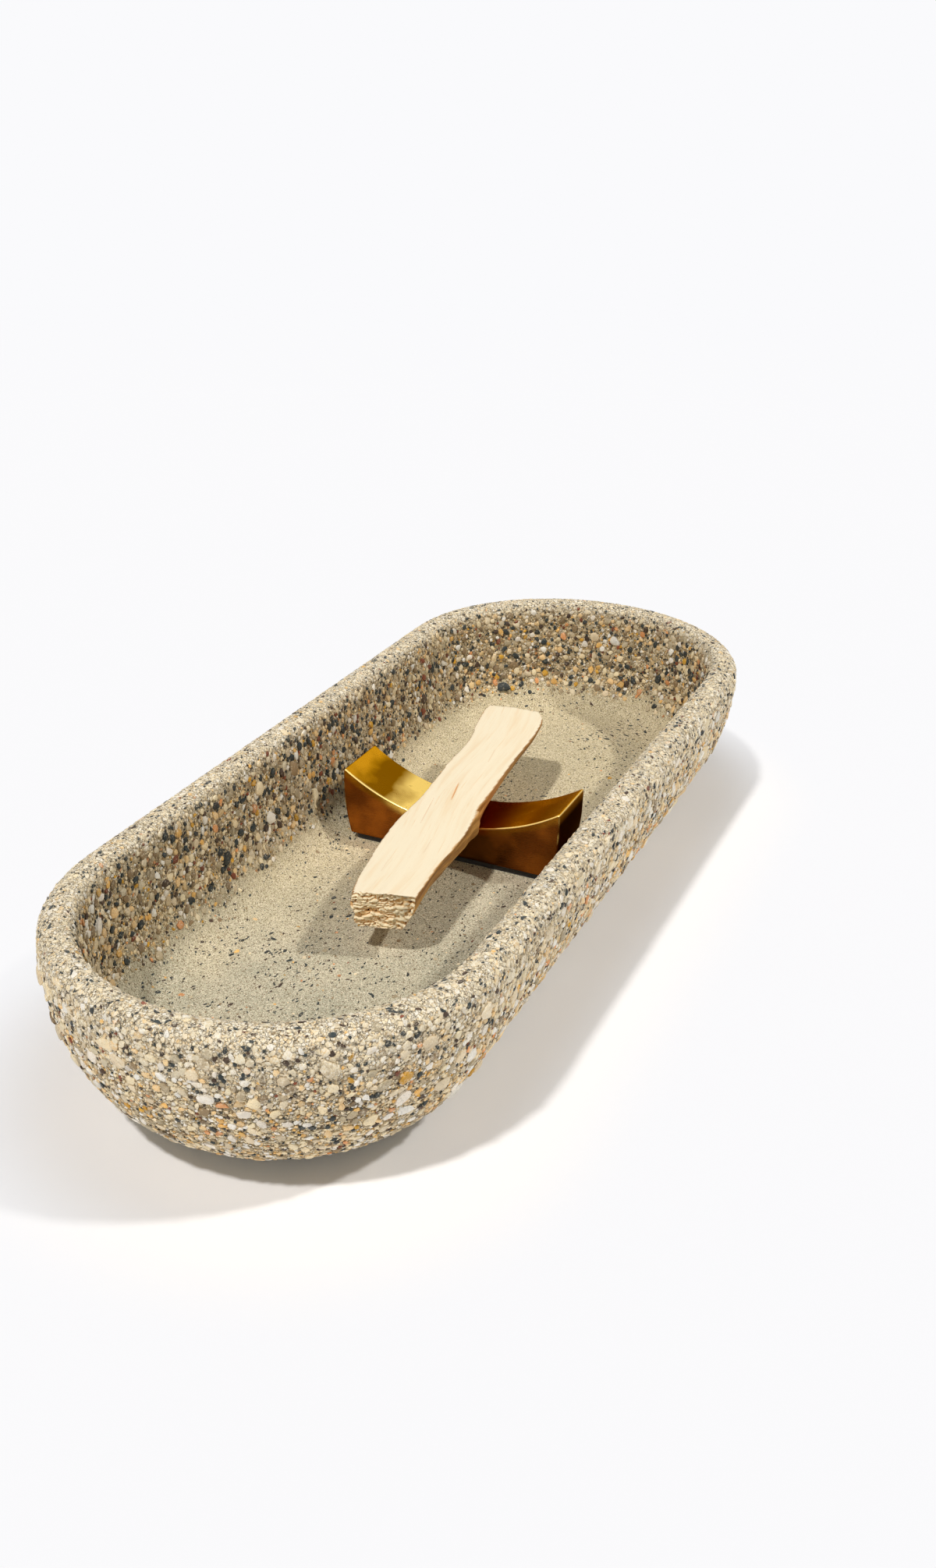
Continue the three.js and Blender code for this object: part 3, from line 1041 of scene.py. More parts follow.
@dataclass
class ChipMould:
    """Models the stone shapes, a few for each count of sides."""

    crown_inset: float = 0.3
    crown_rise: float = 0.24
    ragged: float = 0.31
    crown_ragged: float = 0.05
    variants: int = 12

    def chip(self, grade: Grade, seed: int) -> Chip:
        """Models one stone: a short block knocked out of true, then given a crown.

        Args:
            grade: its grade; the finest have a point in place of a flat crown.
            seed: makes it differ from its like.

        Returns:
            Its vertices and faces.
        """
        bpy.ops.object.select_all(action="DESELECT")
        bpy.ops.mesh.primitive_cylinder_add(vertices=grade.sides, radius=1.0, depth=1.0)
        shape = Shape(bpy.context.object, "chip")
        shape.edit()
        bpy.ops.transform.vertex_random(offset=self.ragged, seed=seed)
        shape.done()
        places = shape.vertices
        places[:, 2] = np.where(places[:, 2] > 0, 0.0, -1.0)
        shape.vertices = places
        shape.edit()
        shape.pick("FACE", lambda face: face.normal.z > LEVEL)
        if grade.size is not Size.FINE:
            bpy.ops.mesh.inset(thickness=self.crown_inset, depth=self.crown_rise)
            bpy.ops.mesh.poke()
        else:
            bpy.ops.mesh.poke(offset=self.crown_rise)
        bpy.ops.transform.vertex_random(offset=self.crown_ragged, seed=seed)
        shape.done()
        places = shape.vertices
        faces = [tuple(polygon.vertices) for polygon in shape.piece.data.polygons]
        bpy.data.objects.remove(shape.piece)
        return Chip(places, faces)

    def chips(self) -> dict[int, list[Chip]]:
        """Models all the shapes that the grades need.

        Returns:
            The shapes, by their counts of sides.
        """
        return {
            grade.sides: [self.chip(grade, seed) for seed in range(1, self.variants + 1)]
            for grade in GRADES
        }


class Crowd:
    """Remembers where stones lie, so that the next one doesn't lie on another."""

    def __init__(self, cell: float, packing: float) -> None:
        """Starts empty.

        Args:
            cell: a width that no two stones' half widths together exceed.
            packing: share of their half widths that two stones keep apart.
        """
        self.cell = cell
        self.packing = packing
        self.cells: dict[tuple[int, int, int], list[tuple[float, float, float, float]]] = {}

    def takes(self, place: np.ndarray, half: float) -> bool:
        """Says whether a stone fits at a place, and notes it if so.

        Args:
            place: its x, y, z.
            half: its half width.

        Returns:
            Whether it fitted.
        """
        x, y, z = (float(value) for value in place)
        home = (math.floor(x / self.cell), math.floor(y / self.cell), math.floor(z / self.cell))
        for i in range(home[0] - 1, home[0] + 2):
            for j in range(home[1] - 1, home[1] + 2):
                for k in range(home[2] - 1, home[2] + 2):
                    for u, v, w, other in self.cells.get((i, j, k), ()):
                        apart = self.packing * (half + other)
                        if (x - u) ** 2 + (y - v) ** 2 + (z - w) ** 2 < apart * apart:
                            return False
        self.cells.setdefault(home, []).append((x, y, z, half))
        return True


@dataclass
class Dish:
    """The concrete dish: a roughened cast body and the stones that show in its skin."""

    voxel: float = 0.92 * MM
    floor_thickness: float = 7.0 * MM
    # Where the rim and the floor end, and how far their normals lean at most.
    rim_band: float = 2.4 * MM
    floor_band: float = 4.0 * MM
    rim_slope: float = 0.35
    floor_slope: float = 0.45
    base_slope: float = -0.8
    # Between which heights the aggregate comes to light inside, and how unevenly.
    fade_low: float = 2.2 * MM
    fade_high: float = 11.0 * MM
    fade_uneven: float = 3.0 * MM
    fade_blob: float = 8.0 * MM
    base_exposure: float = 0.3
    # Between which depths below the rim the ground dust thickens.
    pale_outside: tuple[float, float] = (17.0 * MM, 2.0 * MM)
    pale_inside: tuple[float, float] = (5.0 * MM, 1.5 * MM)
    # The cast skin's unevenness: widths of its swells and ripples, and their heights.
    swell_blob: float = 6.0 * MM
    ripple_blob: float = 2.1 * MM
    ripple_share: float = 0.7
    swell_sink: float = 0.8
    rim_relief: float = 0.08 * MM
    smooth_relief: float = 0.04 * MM
    bare_relief: float = 0.13 * MM
    # How the stones are spread, and how they sit.
    cluster_blob: float = 14.0 * MM
    cluster_mean: float = 0.5
    cluster_swing: float = 1.3
    packing: float = 0.84
    rim_clearance: float = 0.35
    tilt: float = 0.16
    bed: float = 0.01 * MM
    least_proud: float = 0.02
    root: float = 0.5
    bend: float = 0.3
    grain_spread: float = 0.45
    sliver_stretch: tuple[float, float] = (1.25, 1.8)
    stone_stretch: tuple[float, float] = (0.8, 1.32)
    crease: float = math.radians(40)
    # How their tints vary, and how much dust lies on them.
    light_large: tuple[float, float] = (0.8, 1.2)
    light_small: tuple[float, float] = (0.72, 1.4)
    warmth: tuple[float, float] = (0.97, 1.04)
    dust: float = 0.15
    dust_ground: float = 0.75
    dust_on_dark: float = 0.15
    dust_luck: tuple[float, float] = (0.3, 1.0)
    tries: int = 320000
    seed: int = 11
    body: Shape | None = field(default=None, init=False)
    smooth: BVHTree | None = field(default=None, init=False)

    def __post_init__(self) -> None:
        """Reads the dish's place from its solid."""
        low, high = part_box("dish")
        self.top_z = high.z
        self.floor_z = low.z + self.floor_thickness
        _, self.half_straight = dish_plan()

    def outward(self, places: np.ndarray) -> np.ndarray:
        """Gives the level direction away from the line between the ends' centres.

        Args:
            places: rows of x, y, z.

        Returns:
            A unit vector for each place.
        """
        beyond = np.maximum(np.abs(places[:, 0]) - self.half_straight, 0.0) * np.sign(places[:, 0])
        away = np.stack([beyond, places[:, 1], np.zeros(len(places))], axis=1)
        return away / np.maximum(np.linalg.norm(away, axis=1), 1e-9)[:, None]

    def zones(self, places: np.ndarray, normals: np.ndarray) -> np.ndarray:
        """Says which zone each place on the skin is in.

        Args:
            places: rows of x, y, z.
            normals: the skin's normals there.

        Returns:
            The value of each place's Zone.
        """
        facing_out = np.einsum("ij,ij->i", normals, self.outward(places))
        zone = np.where(facing_out > 0, Zone.OUTER.value, Zone.INNER.value)
        height, up = places[:, 2], normals[:, 2]
        zone[(height > self.top_z - self.rim_band) & (up > self.rim_slope)] = Zone.RIM.value
        zone[(height < self.floor_z + self.floor_band) & (up > self.floor_slope)] = Zone.FLOOR.value
        zone[up < self.base_slope] = Zone.BASE.value
        return zone

    def inside(self, zone: np.ndarray) -> np.ndarray:
        """Says which places are inside the dish, from the values of their Zones."""
        return (zone == Zone.INNER.value) | (zone == Zone.FLOOR.value)

    def exposure(self, places: np.ndarray, zone: np.ndarray) -> np.ndarray:
        """Says how far the aggregate is laid bare at each place.

        Args:
            places: rows of x, y, z on the skin.
            zone: the value of each one's Zone.

        Returns:
            0 on the smooth floor, 1 on the walls.
        """
        uneven = noise_at(places, self.fade_blob, seed=3.0) * self.fade_uneven
        inner = smooth_step(self.fade_low, self.fade_high, places[:, 2] - self.floor_z + uneven)
        outer = np.where(zone == Zone.BASE.value, self.base_exposure, 1.0)
        return np.where(self.inside(zone), inner, outer)

    def paleness(self, places: np.ndarray, zone: np.ndarray) -> np.ndarray:
        """Says how ground and dusty the skin is: most on the rim, fading down both walls.

        Args:
            places: rows of x, y, z on the skin.
            zone: the value of each one's Zone.

        Returns:
            0 where it is untouched, 1 on the rim.
        """
        down = self.top_z - places[:, 2]
        outer = smooth_step(*self.pale_outside, down)
        inner = smooth_step(*self.pale_inside, down)
        by_wall = np.where(zone == Zone.INNER.value, inner, outer)
        return np.where(zone == Zone.RIM.value, 1.0, by_wall)

    def cast(self) -> None:
        """Remeshes a copy of the dish's solid and roughens it."""
        body = merged_copy("dish", "dish_cast")
        body.apply("REMESH", mode="VOXEL", voxel_size=self.voxel)
        self.smooth = BVHTree.FromObject(body.piece, bpy.context.evaluated_depsgraph_get())
        places, normals = body.vertices, body.normals
        zone = self.zones(places, normals)
        bare = self.exposure(places, zone)
        body.keep("exposed", bare)
        body.keep("pale", self.paleness(places, zone))
        body.keep("inner", self.inside(zone).astype(float))
        by_bareness = self.smooth_relief + self.bare_relief * bare
        depth = np.where(zone == Zone.RIM.value, self.rim_relief, by_bareness)
        ripple = self.ripple_share * noise_at(places, self.ripple_blob, seed=2.0)
        swell = noise_at(places, self.swell_blob, seed=1.0) + ripple - self.swell_sink
        body.vertices = places + normals * (swell * depth)[:, None]
        bpy.ops.object.shade_smooth()
        self.body = body

    def candidates(self) -> tuple[np.ndarray, np.ndarray, float]:
        """Picks random places on the cast skin.

        Returns:
            Their places, the skin's normals there, and the skin's whole area.
        """
        mesh = self.body.piece.data
        mesh.calc_loop_triangles()
        flat = np.empty(len(mesh.loop_triangles) * 3, int)
        mesh.loop_triangles.foreach_get("vertices", flat)
        corners = flat.reshape(-1, 3)
        places, normals = self.body.vertices, self.body.normals
        a, b, c = (places[corners[:, i]] for i in range(3))
        areas = np.linalg.norm(np.cross(b - a, c - a), axis=1) / 2
        chance = np.random.default_rng(self.seed)
        picked = chance.choice(len(areas), self.tries, p=areas / areas.sum())
        first, second = np.sqrt(chance.random(self.tries)), chance.random(self.tries)
        weights = np.stack([1 - first, first * (1 - second), first * second], axis=1)
        spots = np.einsum("ni,nij->nj", weights, places[corners[picked]])
        facing = np.einsum("ni,nij->nj", weights, normals[corners[picked]])
        return spots, facing / np.linalg.norm(facing, axis=1)[:, None], float(areas.sum())

    def scatter(self) -> list[Stone]:
        """Sets stones all over the skin, the largest first.

        Returns:
            The stones.
        """
        places, normals, area = self.candidates()
        zone = self.zones(places, normals)
        bare = self.exposure(places, zone)
        pale = self.paleness(places, zone)
        swing = self.cluster_swing * noise_at(places, self.cluster_blob, seed=6.0)
        clustered = self.cluster_mean + swing
        below_rim = self.top_z - places[:, 2]
        chance = random.Random(self.seed)
        crowd = Crowd(2 * GRADES[0].largest, self.packing)
        stones = []
        for grade in GRADES:
            for kind in SEATS:
                here = np.flatnonzero(zone == kind.value)
                wanted = grade.within(kind) * PER_MM**2 * area * len(here) / self.tries
                chance.shuffle(here)
                for i in here:
                    if wanted < 1:
                        break
                    half = chance.uniform(grade.smallest, grade.largest)
                    if kind is Zone.INNER and chance.random() > bare[i]:
                        continue
                    if kind is Zone.FLOOR and chance.random() > clustered[i]:
                        continue
                    if kind is not Zone.RIM and half > self.rim_clearance * below_rim[i]:
                        continue
                    if crowd.takes(places[i], half):
                        wanted -= 1
                        stones.append(Stone(places[i], normals[i], half, grade, kind, pale[i]))
        return stones

    def tint(self, stone: Stone, chance: random.Random) -> list[float]:
        """Draws a stone's colour.

        Args:
            stone: the stone.
            chance: where the draw comes from.

        Returns:
            Its colour, and how dusty it is in place of alpha.
        """
        zone = Zone.RIM if chance.random() < stone.pale else stone.zone
        large = stone.grade.size is Size.LARGE
        light_only = large and stone.zone is not Zone.INNER
        kinds = [mineral for mineral in MINERALS if mineral.colour[1] > DARK_GREEN or not light_only]
        mineral = chance.choices(kinds, [mineral.within(zone) for mineral in kinds])[0]
        light = chance.uniform(*(self.light_large if large else self.light_small))
        warmth = chance.uniform(*self.warmth)
        red, green, blue, _ = mineral.colour
        light = min(light, 1 / (red * warmth))
        dusty = (self.dust + self.dust_ground * stone.pale) * chance.uniform(*self.dust_luck)
        if green < DARK_GREEN:
            dusty *= self.dust_on_dark
        return [red * light * warmth, green * light, blue * light / warmth, dusty]

    def turned(self, stone: Stone, chance: random.Random) -> Matrix:
        """Turns a stone to the skin: along the rim and the floor's edge, or anyhow on a wall.

        Args:
            stone: the stone.
            chance: where the draw comes from.

        Returns:
            Its turn.
        """
        up = Vector(stone.normal)
        ground = SEATS[stone.zone].ground
        guide = Vector(self.outward(stone.place[None])[0]) if ground else Vector((0, 0, 1))
        along = up.cross(guide).normalized()
        spin = chance.gauss(0.0, self.grain_spread) if ground else chance.uniform(0.0, math.tau)
        on_skin = Matrix((along, up.cross(along), up)).transposed()
        return on_skin @ Matrix.Rotation(spin, 3, "Z")

    def seated(self, stone: Stone, chip: Chip, dark: bool, chance: random.Random) -> np.ndarray:
        """Seats a stone in the smooth skin, bent to follow it.

        Args:
            stone: the stone.
            chip: its shape.
            dark: whether it is one of the dark slivers.
            chance: where the draws come from.

        Returns:
            Its vertices.
        """
        seat = SEATS[stone.zone]
        stretches = self.sliver_stretch if seat.ground and dark else self.stone_stretch
        stretch = chance.uniform(*stretches)
        flat = chip.places[:, :2] * (stone.half * stretch, stone.half / stretch)
        flat[:, 1] += chance.uniform(-self.bend, self.bend) * flat[:, 0] ** 2 / stone.half
        rise = np.where(chip.places[:, 2] > 0, seat.crown, self.root)
        height = rise * stone.half * chip.places[:, 2]
        lean = 0.0 if seat.ground else self.tilt
        height += flat[:, 0] * chance.uniform(-lean, lean) + flat[:, 1] * chance.uniform(-lean, lean)
        height += self.bed + stone.half * chance.uniform(self.least_proud, seat.proud)
        turn = np.array(self.turned(stone, chance))
        level = flat @ turn[:, :2].T + stone.place
        seated = []
        for place, lift in zip(level, height):
            nearest, normal, _, _ = self.smooth.find_nearest(Vector(place))
            seated.append(nearest + normal * lift)
        return np.array(seated)

    def lay(self, name: str, stones: list[Stone], chips: dict[int, list[Chip]]) -> Shape:
        """Joins stones into one piece.

        Args:
            name: the piece's name.
            stones: the stones.
            chips: the shapes, by their sides.

        Returns:
            The piece.
        """
        chance = random.Random(len(stones))
        places, faces, tints = [], [], []
        start = 0
        for stone in stones:
            chip = chance.choice(chips[stone.grade.sides])
            tint = self.tint(stone, chance)
            places.append(self.seated(stone, chip, tint[1] < DARK_GREEN, chance))
            faces.extend(tuple(start + i for i in face) for face in chip.faces)
            tints.extend([tint] * len(chip.places))
            start += len(chip.places)
        mesh = bpy.data.meshes.new(name)
        mesh.from_pydata(np.concatenate(places).tolist(), [], faces)
        shape = Shape(placed(name, mesh), name)
        attribute = mesh.color_attributes.new("tint", "FLOAT_COLOR", "POINT")
        attribute.data.foreach_set("color", np.array(tints, np.float32).ravel())
        bpy.ops.object.shade_smooth_by_angle(angle=self.crease)
        return shape

    def build(self) -> None:
        """Casts the body, sets its stones and dresses both."""
        self.cast()
        self.body.dress(ConcreteFinish().material(), "concrete", "dish", "dish")
        stones = self.scatter()
        chips = ChipMould().chips()
        finish = StoneFinish().material()
        for name in STONE_PIECES:
            chosen = [stone for stone in stones if stone.piece == name]
            log.info("%s: %d stones", name, len(chosen))
            self.lay(name, chosen, chips).dress(finish, "concrete", "dish")


@dataclass
class Feet:
    """Four felt discs under the dish."""

    edge: float = 0.35 * MM
    fuzz: float = 0.05 * MM
    fuzz_blob: float = 0.7 * MM
    flat_band: float = 0.1 * MM
    sides: int = 64
    rings: int = 4

    def build(self, finish: bpy.types.Material) -> None:
        """Models one foot and copies it to each of the four places.

        Args:
            finish: the felt.
        """
        nodes = [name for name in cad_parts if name.startswith("felt_foot")]
        low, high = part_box(nodes[0])
        middle = (low + high) / 2
        bpy.ops.object.select_all(action="DESELECT")
        bpy.ops.mesh.primitive_cylinder_add(
            vertices=self.sides,
            radius=(high.x - low.x) / 2 - self.fuzz,
            depth=high.z - low.z,
            location=middle,
        )
        foot = Shape(bpy.context.object, "foot")
        foot.settle()
        foot.edit()
        foot.pick("FACE", lambda face: abs(face.normal.z) > LEVEL)
        bpy.ops.mesh.inset(thickness=2 * self.edge)
        for _ in range(self.rings):
            bpy.ops.mesh.inset(thickness=(high.x - low.x) / (3 * self.rings))
        foot.done()
        foot.apply("BEVEL", width=self.edge, segments=3, angle_limit=math.radians(50))
        places = foot.vertices
        side = (places[:, 2] > low.z + self.flat_band) & (places[:, 2] < high.z - self.flat_band)
        fuzz = noise_at(places, self.fuzz_blob, seed=5.0) * self.fuzz * side
        places += foot.normals * fuzz[:, None]
        foot.vertices = places
        bpy.ops.object.shade_smooth()
        for node in nodes:
            mesh = foot.piece.data.copy()
            spot = sum(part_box(node), Vector()) / 2
            mesh.transform(Matrix.Translation(spot - middle))
            name = f"{node}_felt"
            Shape(placed(name, mesh), name).dress(finish, "foot_felt", "dish", node)
        bpy.data.objects.remove(foot.piece)


@dataclass
class Rest:
    """The solid brass rest and the felt under it."""

    saddle_depth: float = 8.3 * MM
    undercut: float = 2.0 * MM
    undercut_height: float = 13.0 * MM
    tip_land: float = 0.6 * MM
    # How its edges are eased and its faces wave.
    edge: float = 0.5 * MM
    sharp: float = math.radians(50)
    waviness: float = 0.045 * MM
    wave_blob: float = 9.0 * MM
    wave_sink: float = 1.0
    dent_blob: float = 3.5 * MM
    dent_share: float = 0.5
    still_band: float = 1.0 * MM
    ease_blob: float = 4.0 * MM
    ease_mean: float = 0.72
    ease_swing: float = 0.28
    # Where its corners are rubbed bright, partly wear and partly painted highlight, and where its top's
    # colour gives way to its sides' darker painted reflection.
    rub_blob: float = 2.5 * MM
    rub_mean: float = 0.5
    rub_swing: float = 1.4
    rub_widths: tuple[float, float] = (1.1, 0.3)
    rub_heights: tuple[float, float] = (2.0 * MM, 9.0 * MM)
    top_band: tuple[float, float] = (0.8 * MM, 2.2 * MM)
    butt_facing: tuple[float, float] = (0.5, 0.8)
    # The lattice that it is drawn from.
    cuts_across: int = 72
    cuts_along: int = 14
    cuts_up: int = 12
    # The felt under it.
    pad_corner: float = 1.2 * MM
    pad_cuts: tuple[int, int, int] = (24, 84, 5)
    pad_fuzz: float = 0.09 * MM
    pad_inset: float = 0.05 * MM
    pad_fuzz_blob: float = 0.8 * MM
    pad_band: float = 0.2 * MM

    def __post_init__(self) -> None:
        """Reads the rest's place and size from its solid."""
        self.low, self.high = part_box("brass_rest")
        self.size = self.high - self.low
        self.middle = (self.low + self.high) / 2

    def saddle(self, across: np.ndarray) -> np.ndarray:
        """Gives the height of the hollowed top above the foot.

        Args:
            across: distances from the middle.

        Returns:
            The height at each.
        """
        half = self.size.y / 2 - self.tip_land
        radius = (half**2 + self.saddle_depth**2) / (2 * self.saddle_depth)
        near = np.minimum(np.abs(across), half)
        return self.size.z - self.saddle_depth + radius - np.sqrt(radius**2 - near**2)

    def half_length(self, up: np.ndarray) -> np.ndarray:
        """Gives how far the ends reach at a height above the foot."""
        share = np.clip(1 - up / self.undercut_height, 0.0, 1.0)
        return self.size.y / 2 - self.undercut * share**2

    def block(self) -> Shape:
        """Cuts a block into a fine lattice and draws it to the rest's form.

        Returns:
            The block.
        """
        bpy.ops.object.select_all(action="DESELECT")
        bpy.ops.mesh.primitive_cube_add(size=1.0)
        block = Shape(bpy.context.object, "brass_rest_polished")
        block.edit()
        land = 0.5 - self.tip_land / self.size.y
        steps = [land * (2 * i / self.cuts_across - 1) for i in range(self.cuts_across + 1)]
        block.slice(steps, Vector((0, 1, 0)))
        block.slice([i / self.cuts_along - 0.5 for i in range(1, self.cuts_along)], Vector((1, 0, 0)))
        block.slice([i / self.cuts_up - 0.5 for i in range(1, self.cuts_up)], Vector((0, 0, 1)))
        block.done()
        places = block.vertices
        share = 2 * places[:, 1]
        up = (places[:, 2] + 0.5) * self.saddle(share * self.size.y / 2)
        places = np.stack(
            [
                self.middle.x + places[:, 0] * self.size.x,
                self.middle.y + share * self.half_length(up),
                self.low.z + up,
            ],
            axis=1,
        )
        block.vertices = places
        return block

    def soften(self, block: Shape) -> None:
        """Waves the faces a little and eases every edge, some more than others.

        Args:
            block: the block in its form.
        """
        places, normals = block.vertices, block.normals
        dents = self.dent_share * noise_at(places, self.dent_blob, seed=8.0)
        wave = noise_at(places, self.wave_blob, seed=7.0) + dents
        stands = smooth_step(self.low.z, self.low.z + self.still_band, places[:, 2])
        places += normals * ((wave - self.wave_sink) * stands * self.waviness)[:, None]
        block.vertices = places
        attribute = block.piece.data.attributes.new("bevel_weight_edge", "FLOAT", "EDGE")
        attribute.data.foreach_set("value", self.easing(block.piece.data))
        block.apply("BEVEL", limit_method="WEIGHT", width=self.edge, segments=4)
        self.mark(block)
        bpy.ops.object.shade_smooth()
        block.apply("WEIGHTED_NORMAL", weight=80)

    def easing(self, mesh: bpy.types.Mesh) -> np.ndarray:
        """Says how much each edge is eased.

        Args:
            mesh: the block's mesh.

        Returns:
            For each edge 0 where the faces beside it are flush, else a share that wanders.
        """
        facing: dict[tuple[int, int], list[Vector]] = {}
        for polygon in mesh.polygons:
            for key in polygon.edge_keys:
                facing.setdefault(key, []).append(polygon.normal)
        weights = np.zeros(len(mesh.edges), np.float32)
        for i, edge in enumerate(mesh.edges):
            one, other = facing[tuple(sorted(edge.vertices))]
            if one.angle(other) > self.sharp:
                spot = mesh.vertices[edge.vertices[0]].co
                weights[i] = self.ease_mean + self.ease_swing * noise.noise(spot / self.ease_blob)
        return weights

    def mark(self, block: Shape) -> None:
        """Notes where handling keeps the brass bright, which also paints a highlight along its edges,
        and which faces are its sides.

        Args:
            block: the block, its edges eased.
        """
        places = block.vertices
        from_middle = np.abs(places - self.middle)
        up = places[:, 2] - self.low.z
        below_top = self.saddle(places[:, 1] - self.middle.y) - up
        clean, bright = (share * self.edge for share in self.rub_widths)
        crest, front, ends = (
            smooth_step(clean, bright, gap)
            for gap in (
                below_top,
                self.size.x / 2 - from_middle[:, 0],
                self.half_length(up) - from_middle[:, 1],
            )
        )
        luck = self.rub_swing * noise_at(places, self.rub_blob, seed=12.0)
        rubbed = np.clip(self.rub_mean + luck, 0.0, 1.0)
        corner = front * ends * rubbed * smooth_step(*self.rub_heights, up)
        block.keep("rubbed_and_highlit", np.maximum(np.maximum(front, ends) * crest, corner))
        butt = smooth_step(*self.butt_facing, np.abs(block.normals[:, 1]))
        block.keep("butt", butt * (1 - ends * front))
        block.keep("flank", smooth_step(*self.top_band, below_top))
        block.keep("across", 0.5 + (places[:, 1] - self.middle.y) / self.size.y)

    def build_pad(self, finish: bpy.types.Material) -> None:
        """Models the felt under the brass: a thin pad with soft corners and a fuzzy side.

        Args:
            finish: the felt.
        """
        low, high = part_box("rest_pad")
        size = high - low
        bpy.ops.object.select_all(action="DESELECT")
        bpy.ops.mesh.primitive_cube_add(size=1.0)
        pad = Shape(bpy.context.object, "rest_pad_felt")
        pad.piece.dimensions = size
        pad.piece.location = (low + high) / 2
        pad.settle()
        pad.edit()
        pad.pick("EDGE", lambda edge: abs((edge.verts[0].co - edge.verts[1].co).normalized().z) > LEVEL)
        bpy.ops.mesh.bevel(offset=self.pad_corner, segments=5)
        for axis, start, run, cuts in zip(Matrix.Identity(3), low, size, self.pad_cuts):
            pad.slice([start + run * cut / cuts for cut in range(1, cuts)], axis)
        pad.done()
        places = pad.vertices
        from_face = np.minimum(places[:, 2] - low.z, high.z - places[:, 2])
        fuzz = noise_at(places, self.pad_fuzz_blob, seed=9.0) * self.pad_fuzz - self.pad_inset
        places += pad.normals * (fuzz * smooth_step(0.0, self.pad_band, from_face))[:, None]
        pad.vertices = places
        bpy.ops.object.shade_smooth_by_angle(angle=self.sharp)
        pad.dress(finish, "pad_felt", "rest", "rest_pad")

    def build(self, felt: bpy.types.Material) -> None:
        """Models and dresses the brass and its felt.

        Args:
            felt: the felt.
        """
        block = self.block()
        self.soften(block)
        block.dress(BrassFinish().material(), "brass", "rest", "brass_rest")
        self.build_pad(felt)


@dataclass(frozen=True)
class Split:
    """A fine crack along the grain of the stick's top, measured from its near end and middle."""

    along: float
    across: float
    length: float
    width: float
    depth: float
    slant: float
    stain: float


SPLITS = (
    Split(51 * MM, 0.4 * MM, 9 * MM, 0.28 * MM, 0.28 * MM, 0.11, 0.9),
    Split(40 * MM, 3.6 * MM, 13 * MM, 0.16 * MM, 0.1 * MM, 0.08, 0.45),
    Split(24 * MM, -1.8 * MM, 7 * MM, 0.14 * MM, 0.08 * MM, 0.04, 0.3),
    Split(72 * MM, -2.4 * MM, 8 * MM, 0.14 * MM, 0.08 * MM, 0.05, 0.4),
    Split(13 * MM, 4.2 * MM, 6 * MM, 0.14 * MM, 0.08 * MM, 0.03, 0.25),
)


